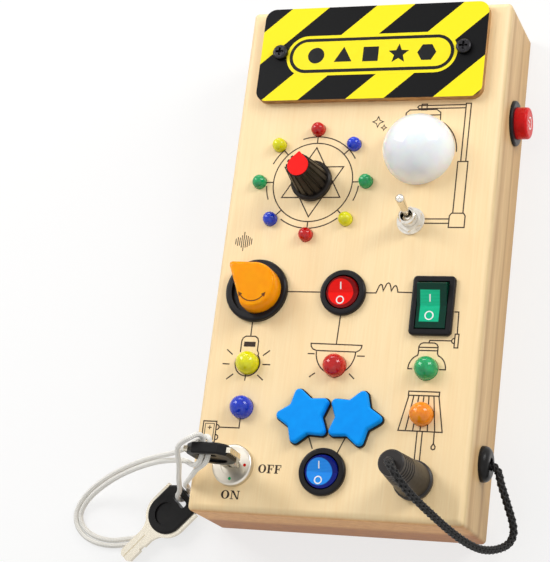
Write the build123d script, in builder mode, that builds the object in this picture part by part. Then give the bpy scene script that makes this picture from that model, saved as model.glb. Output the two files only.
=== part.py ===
"""Wooden busy board: a routed wood case with switches, lamps, a key lock and a patch plug.

The board lies on its back.  X runs across it, Y up it towards the sign plate and Z out of its
front face.  The origin is the centre of the back face.  All sizes are millimetres.
"""
import os
from math import cos, pi, radians, sin, sqrt, tan

from build123d import *

os.makedirs("parts", exist_ok=True)

# ---------------------------------------------------------------- case
BOARD_W = 98.0
BOARD_H = 188.0
BOARD_T = 32.0
FRONT_WALL = 4.0
SIDE_WALL = 6.5
EDGE_ROUND = 2.5
CORNER_ROUND = 1.6
CAVITY_ROUND = 6.0
COVER_T = 3.0
COVER_LEDGE = 4.0
COVER_ROUND = 3.0
COVER_GAP = 0.2
HOLE_GAP = 0.1
FACE = BOARD_T
INNER = BOARD_T - FRONT_WALL
SIDE = BOARD_W / 2
INNER_SIDE = SIDE - SIDE_WALL
CAVITY_W = BOARD_W - 2 * SIDE_WALL
CAVITY_H = BOARD_H - 2 * SIDE_WALL

# ---------------------------------------------------------------- places on the front face
# Columns are measured from the sides, rows are shares of the height above the middle.
COL_LEFT = 16.0 - SIDE
COL_MIDDLE = -1.0
COL_RIGHT = SIDE - 17.5
KNOB_AT = (31.5 - SIDE, 0.1383 * BOARD_H)
BULB_AT = (20.9, 0.1995 * BOARD_H)
TOGGLE_AT = (20.5, 0.0596 * BOARD_H)
SELECTOR_AT = (COL_LEFT, -0.0803 * BOARD_H)
RED_AT = (COL_MIDDLE, -0.0814 * BOARD_H)
GREEN_AT = (COL_RIGHT, -0.1037 * BOARD_H)
LAMP_ROW_1 = -0.2207 * BOARD_H
LAMP_ROW_2 = -0.3053 * BOARD_H
STAR_LEFT_AT = (-9.3, -0.3191 * BOARD_H)
STAR_RIGHT_AT = (8.5, -0.3191 * BOARD_H)
LOCK_AT = (COL_LEFT - 0.4, -0.4149 * BOARD_H)
BLUE_AT = (COL_MIDDLE, -0.4181 * BOARD_H)
PLUG_AT = (COL_RIGHT - 0.4, -0.4255 * BOARD_H)

# ---------------------------------------------------------------- back cover and battery box
CELL_D = 10.4
CELL_L = 44.0
CELL_GAP = 0.6
CELL_PITCH = CELL_D + CELL_GAP
CELLS = 3
BOX_TO_SIDE = 0.5
BOX_TO_TOP = 2.1
BOX_WALL = 1.6
BOX_END_ROOM = 4.0
BOX_LIP = 0.8
BOX_FLANGE = 2.0
DOOR_T = 1.6
DOOR_GAP = 0.35
CELL_FLOOR = 0.4
CELL_ROOF = 0.3
CELL_Z = DOOR_T + CELL_FLOOR + CELL_D / 2
BOX_IN_W = CELL_L + 2 * BOX_END_ROOM
BOX_IN_H = CELLS * CELL_PITCH + CELL_GAP
BOX_TOP = CELL_Z + CELL_D / 2 + CELL_ROOF
BOX_W = BOX_IN_W + 2 * BOX_WALL
BOX_H = BOX_IN_H + 2 * BOX_WALL
BOX_AT = (
    BOX_W / 2 + BOX_FLANGE + BOX_TO_SIDE - INNER_SIDE,
    CAVITY_H / 2 - BOX_H / 2 - BOX_FLANGE - BOX_TO_TOP,
)
SCREW_D = 1.8
SCREW_HEAD_D = 3.4
SCREW_L = 12.0
SCREW_POINT = 2.0
DOOR_SCREW_D = 2.0
DOOR_SCREW_L = 6.0
DOOR_SCREW_HEAD_D = 3.6
DOOR_SCREW_HEAD_H = 0.8
DOOR_SCREW_CROSS = 0.5
SCREW_BOSS_D = 3.8
DOOR_SEAT = 0.1
DOOR_GRIPS = 4
DOOR_GRIP_IN = 8.0
DOOR_GRIP_PITCH = 2.2
DOOR_GRIP_L = 14.0
DOOR_GRIP_W = 1.0
CONTACT_W = 6.8
CONTACT_T = 0.4
NUB_D = 4.0
COIL_TURNS = 3
COIL_WIRE = 0.6
COIL_R = 2.6
COIL_END = 0.35

# ---------------------------------------------------------------- sign plate
SIGN_W = BOARD_W - 13.5
SIGN_H = 36.5
SIGN_T = 3.0
SIGN_AT = (-0.3, BOARD_H / 2 - 19.1)
SIGN_ROUND = 4.0
SIGN_SCREW_PITCH = SIGN_W - 15.5
SIGN_SCREW_UP = 0.5
SIGN_SCREW_D = 2.6
SIGN_SCREW_HEAD_D = 5.6
SIGN_SCREW_HEAD_H = 1.9
SIGN_SCREW_HEAD_ROUND = 0.85
SIGN_SCREW_L = 6.4
CROSS_W = 0.8

# ---------------------------------------------------------------- lamps
SMALL_LAMP_D = 5.0
SMALL_LAMP_L = 8.6
SMALL_FLANGE_D = 5.8
SMALL_FLANGE_T = 1.0
BIG_LAMP_D = 8.0
BIG_LAMP_L = 11.0
BIG_FLANGE_D = 9.2
BIG_FLANGE_T = 1.6
RING_R = 20.0
RING_LAMPS = 8
LEAD_D = 0.5
LEAD_PITCH = 2.54
BOARD_GAP = 5.4
PCB_T = 1.6
RING_BOARD_OUT = 23.0
RING_BOARD_IN = 15.0
RING_SPACER_ANGLES = (112.5, 247.5, 22.5)
CONTROL_W = CAVITY_W - 9.0
CONTROL_H = 27.0
CONTROL_AT = (-0.5, -0.2739 * BOARD_H)
CONTROL_ROUND = 1.5
SPACER_D = 5.0
SPACER_BORE = 2.6
BOARD_SCREW_D = 2.5
BOARD_SCREW_HEAD_D = 4.4
BOARD_SCREW_HEAD_H = 1.6
PCB_TOP = INNER - BOARD_GAP
CHIPS = [
    (-20.0, 0.0, 10.0, 6.0, 1.6),
    (0.0, 3.0, 7.0, 5.0, 1.6),
    (20.0, 2.0, 8.0, 8.0, 5.0),
    (8.0, -7.0, 4.0, 2.0, 1.2),
]

# ---------------------------------------------------------------- bulb
BULB_R = 12.75
BULB_CENTRE_H = 1.0
BULB_WALL = 1.2
BULB_NECK_D = 16.0
BULB_BARB = 0.4
BULB_BARB_H = 0.9
BULB_BARB_GAP = 0.1
BULB_BOARD_T = 1.2
BULB_LAMP_L = 6.4

# ---------------------------------------------------------------- rotary knob
KNOB_H = 16.4
KNOB_LIFT = 0.5
SKIRT_D = 15.0
SKIRT_H = 2.4
KNOB_LOW_D = 12.6
KNOB_TOP_D = 8.9
FLUTES = 14
FLUTE_R = 0.55
SKIRT_CHAMFER = 0.7
CAP_FIT = 0.02
SHAFT_IN_TOP = 3.0
SHAFT_END_ROOM = 0.3
CAN_FLOOR = 1.5
CAN_CHAMFER = 0.8
KNOB_NUT_ROOM = 0.4
KNOB_CAP_D = 7.6
KNOB_CAP_T = 1.2
KNOB_CAP_PROUD = 0.35
KNOB_POINTER = 4.9
KNOB_POINTER_R = 0.25
KNOB_SHAFT_D = 6.0
SHAFT_FLAT = 1.5
SHAFT_FIT = 0.05
ROTARY_CAN_D = 25.0
ROTARY_CAN_H = 8.6
ROTARY_BUSH_D = 7.0
ROTARY_BUSH_H = 7.0
ROTARY_NUT_AF = 10.0
NUT_T = 2.0

# ---------------------------------------------------------------- selector
SELECTOR_BEZEL_D = 22.8
SELECTOR_BEZEL_H = 2.3
SELECTOR_BEZEL_IN = 18.0
SELECTOR_BARREL_D = 15.0
SELECTOR_NUT_D = 18.4
SELECTOR_DEPTH = 14.0
SELECTOR_BLOCK_W = 14.0
SELECTOR_BLOCK_H = 7.0
SELECTOR_FLOOR = 0.9
SELECTOR_ROUND = 1.0
SELECTOR_STEP_GAP = 0.5
SELECTOR_CAP_R = 8.9
SELECTOR_NOSE = 10.4
SELECTOR_NOSE_R = 2.2
SELECTOR_CAP_ROUND = 1.2
SELECTOR_CAP_H = 6.8
SELECTOR_CAP_LIFT = 0.3
SELECTOR_STEM_D = 8.0
SELECTOR_REST = 138.0

# ---------------------------------------------------------------- rocker switches
ROUND_BEZEL_D = 16.4
ROUND_BARREL_D = 14.6
ROUND_DEPTH = 13.0
ROUND_BEZEL_ROUND = 0.8
ROCKER_BEZEL_H = 1.8
ROUND_ROCKER_R = 5.9
ROCKER_GAP = 0.35
ROCKER_PIVOT_H = 0.3
ROCKER_THROW = 10.0
ROCKER_VALLEY = 1.4
ROCKER_BOTTOM = 3.6
ROCKER_POCKET = 6.5
ROCKER_PIN_D = 1.6
ROCKER_PIN_FIT = 0.06
ROCKER_PIN_L = 0.7
SQUARE_BEZEL_W = 15.0
SQUARE_BEZEL_H = 21.0
SQUARE_BODY_W = 13.0
SQUARE_BODY_H = 19.0
SQUARE_DEPTH = 14.0
SQUARE_CORNER = 1.5
SQUARE_BEZEL_ROUND = 0.7
SQUARE_ROCKER_W = 10.4
SQUARE_ROCKER_R = 8.2
SQUARE_ROCKER_ROUND = 0.5
BLADE_W = 4.8
BLADE_T = 0.8
BLADE_L = 6.5
LUG_W = 2.0
LUG_T = 0.6
LUG_L = 4.0
BLADE_STEPS = [(0, 2.6), (0, -2.6)]
LUG_STEPS = [(-3.2, 0), (3.2, 0)]
TOGGLE_LUG_STEPS = [(0, -4.7), (0, 0), (0, 4.7)]
ROTARY_LUGS = 8
ROTARY_LUG_R = 9.0

# ---------------------------------------------------------------- toggle switch
TOGGLE_BODY_W = 8.0
TOGGLE_BODY_H = 13.0
TOGGLE_BODY_T = 10.0
TOGGLE_BUSH_D = 6.0
TOGGLE_BUSH_H = 6.4
TOGGLE_NUT_AF = 8.0
TOGGLE_WASHER_D = 10.0
TOGGLE_WASHER_T = 0.6
TOGGLE_PIVOT_H = 3.2
TOGGLE_TIP_H = 17.0
TOGGLE_THROW = 12.5
LEVER_ROOT_D = 2.1
LEVER_TIP_D = 3.2
LEVER_TAIL_D = 1.4
LEVER_TAIL_L = 2.4
TOGGLE_BUSH_WALL = 0.8
TOGGLE_BALL_GAP = 0.1
TOGGLE_BODY_CHAMFER = 0.5
TOGGLE_BUSH_CHAMFER = 0.4
TOGGLE_NUT_LIFT = 0.02

# ---------------------------------------------------------------- stars
STAR_TIP_R = 11.2
STAR_VALLEY_R = 6.5
STAR_VALLEY_ROUND = 1.2
STAR_EDGE_ROUND = 0.9
STAR_TIP_ROUND = 1.6
STAR_BASE_EDGE = 0.4
STAR_BASE_T = 1.2
STAR_FACE_T = 2.2

# ---------------------------------------------------------------- key lock and keys
LOCK_FLANGE_D = 14.6
LOCK_FLANGE_H = 2.4
LOCK_BARREL_D = 12.0
LOCK_DEPTH = 15.0
LOCK_CYLINDER_D = 7.6
LOCK_CYLINDER_L = 14.0
LOCK_BLOCK_D = 12.6
LOCK_BLOCK_H = 6.0
LOCK_FIT = 0.05
LOCK_ROUND = 0.9
RING_NUT_WALL = 1.2
KEY_T = 1.8
KEY_BLADE_W = 5.6
KEY_BLADE_L = 8.4
KEY_NECK_L = 5.6
KEY_HEAD_L = 18.8
KEY_HEAD_W = 16.8
KEY_BOW_MARGIN = 1.2
KEY_BOW_T = 3.9
KEY_SLOT_W = 6.4
KEY_SLOT_H = 2.6
KEY_SLOT_ROUND = 1.0
KEY_SLOT_IN = 3.4
KEY_DIMPLE_D = 8.6
KEY_DIMPLE = 0.8
KEY_GROOVE_W = 1.0
KEY_GROOVE = 0.4
KEY_SLOT_GAP = 0.08
KEY_TIP_GAP = 0.4
KEY_TIP_CUT = 1.2
KEY_BOW_END = 2.4
KEY_BOW_CUT = 2.6
KEY_BOW_ROUND = 0.7
KEY_RIM = 0.9
KEY_FLARE = 35.0
KEY_FLARE_R = 9.0
KEY_STEP = 0.6
KEY_STEP_L = 2.0
KEY_STEP_AT = 7.4
KEY_GROOVE_L = 11.5
KEY_LIFT = 0.8
CYLINDER_SUNK = 0.2
SPARE_AT = (-SIDE - 11.9, LOCK_AT[1] - 5.6)
SPARE_TURN = 47.2
SPARE_TIP_H = 2.62
SPARE_SLOPE = 0.05

# ---------------------------------------------------------------- side button
BUTTON_Y = 0.2936 * BOARD_H
BUTTON_Z = 13.1
BUTTON_FLANGE_D = 16.3
BUTTON_FLANGE_H = 1.2
BUTTON_FLANGE_ROUND = 0.7
BUTTON_BARREL_D = 13.6
BUTTON_DEPTH = 14.0
BUTTON_FLOOR = 5.0
BUTTON_BLOCK_W = 11.0
BUTTON_BLOCK_L = 5.5
BUTTON_CAP_D = 11.4
BUTTON_PROUD = 5.7
BUTTON_TRAVEL = 2.0
BUTTON_FIT = 0.15
BUTTON_CAP_L = 9.0
BUTTON_CAP_ROUND = 1.0
BUTTON_STEM_D = 4.0
BUTTON_STEM_IN = 2.0
BUTTON_NUT_WALL = 1.8
NUT_SLOT = 1.6
NUT_FIT = 0.05
SPRING_WIRE = 0.5
SPRING_TURNS = 5

# ---------------------------------------------------------------- patch plug, jack and cord
PLUG_H = 27.5
PLUG_LOW_D = 13.6
PLUG_BODY_D = 12.4
PLUG_TOP_D = 8.8
PLUG_FOOT_H = 2.2
PLUG_FOOT_CHAMFER = 0.4
PLUG_TOP_CHAMFER = 0.5
PLUG_RING_TOP = 2.4
PLUG_LIFT = 0.4
PLUG_RINGS = 5
PLUG_RING_PITCH = 1.9
PLUG_RING_R = 0.45
PLUG_PIN_D = 3.5
PLUG_PIN_L = 13.0
PLUG_PIN_CHAMFER = 1.05
JACK_BUSH_D = 6.0
JACK_W = 11.0
JACK_DEPTH = 12.0
JACK_ROUND = 1.0
JACK_END_ROOM = 1.0
JACK_FIT = 0.08
GROMMET_Y = -0.3686 * BOARD_H
GROMMET_Z = 14.4
GROMMET_D = 12.4
GROMMET_PROUD = 3.2
GROMMET_ROUND = 2.5
GROMMET_NECK_D = 6.4
GROMMET_INNER_D = 9.0
GROMMET_INNER_T = 1.6
CORD_D = 3.0
GROMMET_MOUTH_D = CORD_D + 1.6
GROMMET_MOUTH_DEEP = 1.2
BEND_SHARE = 0.45
LACE_D = 1.8
# The cord's corners: X from the right side, Y from the plug's row, Z from the floor.
CORD_STEPS = [
    (-17.9, 0.0, 59.9), (-17.9, 0.0, 64.2), (-15.0, -3.3, 68.4), (-12.3, -7.1, 66.5),
    (-10.0, -10.0, 61.5), (-7.3, -12.6, 54.5), (-4.3, -15.2, 47.0), (-1.6, -17.4, 39.5),
    (1.4, -19.2, 31.0), (4.6, -19.8, 22.5), (7.7, -18.0, 14.5), (10.4, -15.1, 9.6),
    (11.4, -11.0, 7.9), (10.5, -6.8, 8.6), (9.1, -2.7, 10.2), (7.9, 1.2, 12.2), (6.6, 5.0, 14.0),
    (5.9, 8.8, 14.9), (3.2, 10.7, 14.4),
]
# The lace's corners: X from the left side, Y from the lock's row, Z from the floor.
LACE_STEPS = [
    (-28.8, -23.3, 1.0), (-34.9, -24.7, 1.0), (-41.2, -25.6, 1.0), (-48.0, -24.8, 1.0),
    (-54.0, -21.7, 1.0), (-57.3, -16.3, 1.0), (-56.1, -10.8, 1.6), (-51.6, -6.2, 3.8),
    (-44.1, -2.5, 8.6), (-34.9, -0.1, 15.5), (-24.3, 1.3, 24.0), (-13.2, 1.8, 33.0),
    (-4.9, 1.6, 39.5), (2.6, 2.0, 46.0), (8.6, 4.0, 51.0), (13.6, 5.4, 53.8), (16.0, 3.4, 56.2),
    (16.0, -3.6, 56.2), (12.8, -4.6, 52.4), (8.4, -4.9, 46.9), (4.8, -5.8, 41.4), (1.8, -6.3, 36.8),
    (-0.9, -6.4, 32.2), (-4.0, -6.1, 26.0), (-7.0, -5.2, 18.6), (-10.0, -3.8, 11.2),
    (-12.4, -2.6, 4.8), (-13.2, -3.8, 1.0), (-15.1, -7.4, 1.0), (-15.1, -7.3, 7.2),
    (-11.4, -5.9, 12.8), (-8.4, -4.6, 22.0), (-4.2, -3.4, 32.5), (-0.1, -2.2, 42.5),
    (2.6, -1.0, 51.0), (5.2, 0.6, 57.7), (10.0, 1.6, 62.6), (13.4, 4.6, 60.6), (13.9, 3.4, 56.3),
    (13.9, -3.4, 56.4), (9.4, -4.9, 51.2), (1.8, -0.8, 41.6), (-6.1, 0.0, 36.4),
    (-13.2, -0.2, 33.0), (-24.1, -0.7, 24.0), (-34.5, -2.1, 15.5), (-43.3, -4.5, 8.6),
    (-50.4, -8.0, 3.8), (-54.3, -11.8, 1.6), (-55.3, -15.9, 1.0), (-52.6, -20.1, 1.0),
    (-47.4, -22.8, 1.0), (-41.2, -23.6, 1.0), (-35.3, -22.7, 1.0), (-29.2, -21.3, 1.0),
]


def at(place, z=0.0):
    """A plane parallel to the front face, centred on a place of the layout."""
    return Plane((place[0], place[1], z))


def hexagon(flats):
    """The corner radius of a hexagon from its size across flats."""
    return flats / 2 / cos(pi / 6)


SIDE_PLANE = Plane(origin=(SIDE, BUTTON_Y, BUTTON_Z), x_dir=(0, 1, 0), z_dir=(1, 0, 0))
GROMMET_PLANE = Plane(origin=(SIDE, GROMMET_Y, GROMMET_Z), x_dir=(0, 1, 0), z_dir=(1, 0, 0))
RING_ANGLES = [90 - i * 360 / RING_LAMPS for i in range(RING_LAMPS)]
RING_PLACES = [
    (KNOB_AT[0] + RING_R * cos(radians(a)), KNOB_AT[1] + RING_R * sin(radians(a)))
    for a in RING_ANGLES
]
BIG_LAMPS = {
    "yellow": (COL_LEFT, LAMP_ROW_1),
    "red": (COL_MIDDLE, LAMP_ROW_1),
    "green": (COL_RIGHT, LAMP_ROW_1),
    "blue": (COL_LEFT, LAMP_ROW_2),
    "orange": (COL_RIGHT, LAMP_ROW_2),
}
STARS = [STAR_LEFT_AT, STAR_RIGHT_AT]
COVER_SCREWS = [
    (x * INNER_SIDE, y * CAVITY_H / 2) for x in (-1, 1) for y in (-1, 1)
] + [(x * (INNER_SIDE + COVER_LEDGE / 2), 0) for x in (-1, 1)]
SIGN_SCREWS = [(SIGN_AT[0] + x * SIGN_SCREW_PITCH / 2, SIGN_AT[1] + SIGN_SCREW_UP) for x in (-1, 1)]

# ---------------------------------------------------------------- the wooden case
with BuildPart() as case:
    with BuildSketch():
        Rectangle(BOARD_W, BOARD_H)
        fillet(vertices(), CORNER_ROUND)
    extrude(amount=BOARD_T)
    fillet(faces().sort_by(Axis.Z)[-1].edges(), EDGE_ROUND)
    with BuildSketch():
        RectangleRounded(CAVITY_W, CAVITY_H, CAVITY_ROUND)
    extrude(amount=INNER, mode=Mode.SUBTRACT)
    with BuildSketch():
        RectangleRounded(CAVITY_W + 2 * COVER_LEDGE, CAVITY_H + 2 * COVER_LEDGE, COVER_ROUND)
    extrude(amount=COVER_T, mode=Mode.SUBTRACT)
    with BuildSketch(Plane.XY.offset(FACE)):
        with Locations(*RING_PLACES, *STARS):
            Circle(SMALL_LAMP_D / 2 + HOLE_GAP)
        with Locations(*BIG_LAMPS.values()):
            Circle(BIG_LAMP_D / 2 + HOLE_GAP)
        with Locations(KNOB_AT):
            Circle(ROTARY_BUSH_D / 2 + HOLE_GAP)
        with Locations(BULB_AT):
            Circle(BULB_NECK_D / 2 + HOLE_GAP)
        with Locations(TOGGLE_AT):
            Circle(TOGGLE_BUSH_D / 2 + HOLE_GAP)
        with Locations(SELECTOR_AT):
            Circle(SELECTOR_BARREL_D / 2 + HOLE_GAP)
        with Locations(RED_AT, BLUE_AT):
            Circle(ROUND_BARREL_D / 2 + HOLE_GAP)
        with Locations(GREEN_AT):
            Rectangle(SQUARE_BODY_W + 2 * HOLE_GAP, SQUARE_BODY_H + 2 * HOLE_GAP)
        with Locations(LOCK_AT):
            Circle(LOCK_BARREL_D / 2 + HOLE_GAP)
        with Locations(PLUG_AT):
            Circle(JACK_BUSH_D / 2 + HOLE_GAP)
        with Locations(*SIGN_SCREWS):
            Circle(SIGN_SCREW_D / 2)
    extrude(amount=-FRONT_WALL, mode=Mode.SUBTRACT)
    with BuildSketch(Plane.XY.offset(COVER_T)):
        with Locations(*COVER_SCREWS):
            Circle(SCREW_D / 2)
    extrude(amount=SCREW_L - COVER_T, mode=Mode.SUBTRACT)
    with BuildSketch(SIDE_PLANE):
        Circle(BUTTON_BARREL_D / 2 + HOLE_GAP)
    extrude(amount=-SIDE_WALL, mode=Mode.SUBTRACT)
    with BuildSketch(GROMMET_PLANE):
        Circle(GROMMET_NECK_D / 2 + HOLE_GAP)
    extrude(amount=-SIDE_WALL, mode=Mode.SUBTRACT)

# ---------------------------------------------------------------- back cover with its screws
COVER_W = CAVITY_W + 2 * COVER_LEDGE - 2 * COVER_GAP
COVER_H = CAVITY_H + 2 * COVER_LEDGE - 2 * COVER_GAP
SINK_H = (SCREW_HEAD_D - SCREW_D) / 2

with BuildPart() as back_cover:
    with BuildSketch():
        RectangleRounded(COVER_W, COVER_H, COVER_ROUND)
        with Locations(BOX_AT):
            Rectangle(BOX_W + 2 * COVER_GAP, BOX_H + 2 * COVER_GAP, mode=Mode.SUBTRACT)
    extrude(amount=COVER_T)
    with Locations(*[(x, y, 0) for x, y in COVER_SCREWS]):
        Cylinder(SCREW_D / 2, COVER_T, align=(Align.CENTER, Align.CENTER, Align.MIN), mode=Mode.SUBTRACT)
        Cone(
            SCREW_HEAD_D / 2, SCREW_D / 2, SINK_H,
            align=(Align.CENTER, Align.CENTER, Align.MIN), mode=Mode.SUBTRACT,
        )

with BuildPart() as back_screws:
    for place in COVER_SCREWS:
        with BuildSketch(Plane.XZ.offset(-place[1])):
            with BuildLine():
                Polyline(
                    (place[0], 0), (place[0] + SCREW_HEAD_D / 2, 0),
                    (place[0] + SCREW_D / 2, SINK_H), (place[0] + SCREW_D / 2, SCREW_L - SCREW_POINT),
                    (place[0], SCREW_L), close=True,
                )
            make_face()
        revolve(axis=Axis((place[0], place[1], 0), (0, 0, 1)))

# ---------------------------------------------------------------- battery box, cells, door
DOOR_SCREW_AT = (BOX_AT[0] + BOX_IN_W / 2 - SCREW_BOSS_D / 2, BOX_AT[1] + CELL_PITCH / 2)

with BuildPart() as battery_box:
    with BuildSketch(at(BOX_AT)):
        Rectangle(BOX_W, BOX_H)
    extrude(amount=BOX_TOP + BOX_WALL)
    with BuildSketch(at(BOX_AT, COVER_T)):
        Rectangle(BOX_W + 2 * BOX_FLANGE, BOX_H + 2 * BOX_FLANGE)
    extrude(amount=BOX_WALL)
    with BuildSketch(at(BOX_AT)):
        Rectangle(BOX_IN_W, BOX_IN_H)
    extrude(amount=BOX_TOP, mode=Mode.SUBTRACT)
    with BuildSketch(at(BOX_AT)):
        Rectangle(BOX_IN_W + 2 * BOX_LIP, BOX_IN_H + 2 * BOX_LIP)
    extrude(amount=DOOR_T, mode=Mode.SUBTRACT)
    with BuildSketch(at(BOX_AT, DOOR_T)):
        with GridLocations(0, CELL_PITCH, 1, CELLS - 1):
            Rectangle(CELL_L * 0.8, CELL_PITCH - CELL_D)
    extrude(amount=BOX_TOP - DOOR_T)
    with BuildSketch(at(DOOR_SCREW_AT, DOOR_T)):
        Rectangle(SCREW_BOSS_D, SCREW_BOSS_D)
    extrude(amount=BOX_TOP - DOOR_T)
    with BuildSketch(at(DOOR_SCREW_AT, DOOR_T)):
        Circle(DOOR_SCREW_D / 2 + HOLE_GAP)
    extrude(amount=DOOR_SCREW_L, mode=Mode.SUBTRACT)

with BuildPart() as battery_cells:
    with Locations(*[(BOX_AT[0], BOX_AT[1] + (i - (CELLS - 1) / 2) * CELL_PITCH, CELL_Z) for i in range(CELLS)]):
        Cylinder(CELL_D / 2, CELL_L, rotation=(0, 90, 0))


def coil(radius, height, turns, wire):
    """A plain compression spring that stands on the XY plane."""
    with BuildPart(mode=Mode.PRIVATE) as spring:
        with BuildLine() as path:
            Helix(height / turns, height, radius)
        with BuildSketch(Plane(origin=path.line @ 0, z_dir=path.line % 0)):
            Circle(wire / 2)
        sweep()
    return spring.part


CONTACT_X = BOX_IN_W / 2 - CONTACT_T
COIL_L = BOX_END_ROOM - CONTACT_T - 2 * COIL_END
cell_coil = coil(COIL_R, COIL_L, COIL_TURNS, COIL_WIRE)

with BuildPart() as battery_contacts:
    for i in range(CELLS):
        side = -1 if i % 2 else 1
        place = Location((BOX_AT[0], BOX_AT[1] + (i - (CELLS - 1) / 2) * CELL_PITCH, CELL_Z))
        with Locations(place):
            with Locations((side * (CONTACT_X + CONTACT_T / 2), 0, 0), (-side * (CONTACT_X + CONTACT_T / 2), 0, 0)):
                Box(CONTACT_T, CONTACT_W, CONTACT_W)
            with Locations((side * (CELL_L / 2 + CONTACT_X) / 2, 0, 0)):
                Cylinder(NUB_D / 2, CONTACT_X - CELL_L / 2, rotation=(0, 90, 0))
        add(cell_coil.moved(place * Location((-side * (CELL_L / 2 + COIL_END), 0, 0), (0, -side * 90, 0))))

with BuildPart() as battery_door:
    with BuildSketch(at(BOX_AT)):
        Rectangle(BOX_IN_W + 2 * BOX_LIP - 2 * DOOR_GAP, BOX_IN_H + 2 * BOX_LIP - 2 * DOOR_GAP)
    extrude(amount=DOOR_T - DOOR_SEAT)
    with BuildSketch(at(BOX_AT)):
        with Locations((-BOX_IN_W / 2 + DOOR_GRIP_IN, 0)):
            with GridLocations(DOOR_GRIP_PITCH, 0, DOOR_GRIPS, 1):
                SlotOverall(DOOR_GRIP_L, DOOR_GRIP_W, rotation=90)
    extrude(amount=DOOR_T / 2, mode=Mode.SUBTRACT)
    with Locations((DOOR_SCREW_AT[0], DOOR_SCREW_AT[1], 0)):
        Cylinder(
            DOOR_SCREW_D / 2 + HOLE_GAP, DOOR_T,
            align=(Align.CENTER, Align.CENTER, Align.MIN), mode=Mode.SUBTRACT,
        )
        Cylinder(
            DOOR_SCREW_HEAD_D / 2 + HOLE_GAP, DOOR_SCREW_HEAD_H,
            align=(Align.CENTER, Align.CENTER, Align.MIN), mode=Mode.SUBTRACT,
        )

with BuildPart() as door_screw:
    with Locations((DOOR_SCREW_AT[0], DOOR_SCREW_AT[1], 0)):
        Cylinder(DOOR_SCREW_HEAD_D / 2, DOOR_SCREW_HEAD_H, align=(Align.CENTER, Align.CENTER, Align.MIN))
        Cylinder(DOOR_SCREW_D / 2, DOOR_SCREW_L, align=(Align.CENTER, Align.CENTER, Align.MIN))
        Box(
            DOOR_SCREW_HEAD_D * 0.8, DOOR_SCREW_CROSS, DOOR_SCREW_HEAD_H / 2,
            align=(Align.CENTER, Align.CENTER, Align.MIN), mode=Mode.SUBTRACT,
        )
        Box(
            DOOR_SCREW_CROSS, DOOR_SCREW_HEAD_D * 0.8, DOOR_SCREW_HEAD_H / 2,
            align=(Align.CENTER, Align.CENTER, Align.MIN), mode=Mode.SUBTRACT,
        )

# ---------------------------------------------------------------- sign plate
with BuildPart() as sign_plate:
    with BuildSketch(at(SIGN_AT, FACE)):
        RectangleRounded(SIGN_W, SIGN_H, SIGN_ROUND)
    extrude(amount=SIGN_T)
    with BuildSketch(Plane.XY.offset(FACE)):
        with Locations(*SIGN_SCREWS):
            Circle(SIGN_SCREW_D / 2 + HOLE_GAP)
    extrude(amount=SIGN_T, mode=Mode.SUBTRACT)


def pan_screw(place, seat):
    """A cross-recessed pan-head screw whose head sits on a face at height seat."""
    top = seat + SIGN_SCREW_HEAD_H
    with BuildPart(mode=Mode.PRIVATE) as screw:
        with BuildSketch(at(place, seat)):
            Circle(SIGN_SCREW_HEAD_D / 2)
        extrude(amount=SIGN_SCREW_HEAD_H)
        fillet(faces().sort_by(Axis.Z)[-1].edges(), SIGN_SCREW_HEAD_ROUND)
        with BuildSketch(at(place, seat)):
            Circle(SIGN_SCREW_D / 2)
        extrude(amount=-SIGN_SCREW_L)
        with BuildSketch(at(place, top)):
            Rectangle(SIGN_SCREW_HEAD_D * 0.55, CROSS_W)
            Rectangle(CROSS_W, SIGN_SCREW_HEAD_D * 0.55)
        extrude(amount=-SIGN_SCREW_HEAD_H * 0.6, mode=Mode.SUBTRACT)
    return screw.part


with BuildPart() as sign_screws:
    for place in SIGN_SCREWS:
        add(pan_screw(place, FACE + SIGN_T))


# ---------------------------------------------------------------- lamps
def lamp(place, lens_d, length, flange_d, flange_t):
    """A round-nosed lamp pushed in from behind, its flange against the inner face of the wall."""
    base = INNER - flange_t
    shoulder = base + length - lens_d / 2
    with BuildPart(mode=Mode.PRIVATE) as one:
        with BuildSketch(Plane.XZ):
            with BuildLine():
                Line((0, base), (flange_d / 2, base))
                Line((flange_d / 2, base), (flange_d / 2, INNER))
                Line((flange_d / 2, INNER), (lens_d / 2, INNER))
                Line((lens_d / 2, INNER), (lens_d / 2, shoulder))
                RadiusArc((lens_d / 2, shoulder), (0, shoulder + lens_d / 2), -lens_d / 2)
                Line((0, shoulder + lens_d / 2), (0, base))
            make_face()
        revolve(axis=Axis.Z)
    return one.part.moved(Location((place[0], place[1], 0)))


def small_lamp(place):
    return lamp(place, SMALL_LAMP_D, SMALL_LAMP_L, SMALL_FLANGE_D, SMALL_FLANGE_T)


def big_lamp(place):
    return lamp(place, BIG_LAMP_D, BIG_LAMP_L, BIG_FLANGE_D, BIG_FLANGE_T)


with BuildPart() as lamps_red:
    add([small_lamp(RING_PLACES[0]), small_lamp(RING_PLACES[4]), big_lamp(BIG_LAMPS["red"])])

with BuildPart() as lamps_blue:
    add([small_lamp(RING_PLACES[1]), small_lamp(RING_PLACES[5]), big_lamp(BIG_LAMPS["blue"])])
    for place in STARS:
        add(lamp(place, SMALL_LAMP_D, FRONT_WALL + SMALL_FLANGE_T, SMALL_FLANGE_D, SMALL_FLANGE_T))

with BuildPart() as lamps_green:
    add([small_lamp(RING_PLACES[2]), small_lamp(RING_PLACES[6]), big_lamp(BIG_LAMPS["green"])])

with BuildPart() as lamps_yellow:
    add([small_lamp(RING_PLACES[3]), small_lamp(RING_PLACES[7]), big_lamp(BIG_LAMPS["yellow"])])

with BuildPart() as lamp_orange:
    add(big_lamp(BIG_LAMPS["orange"]))

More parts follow.
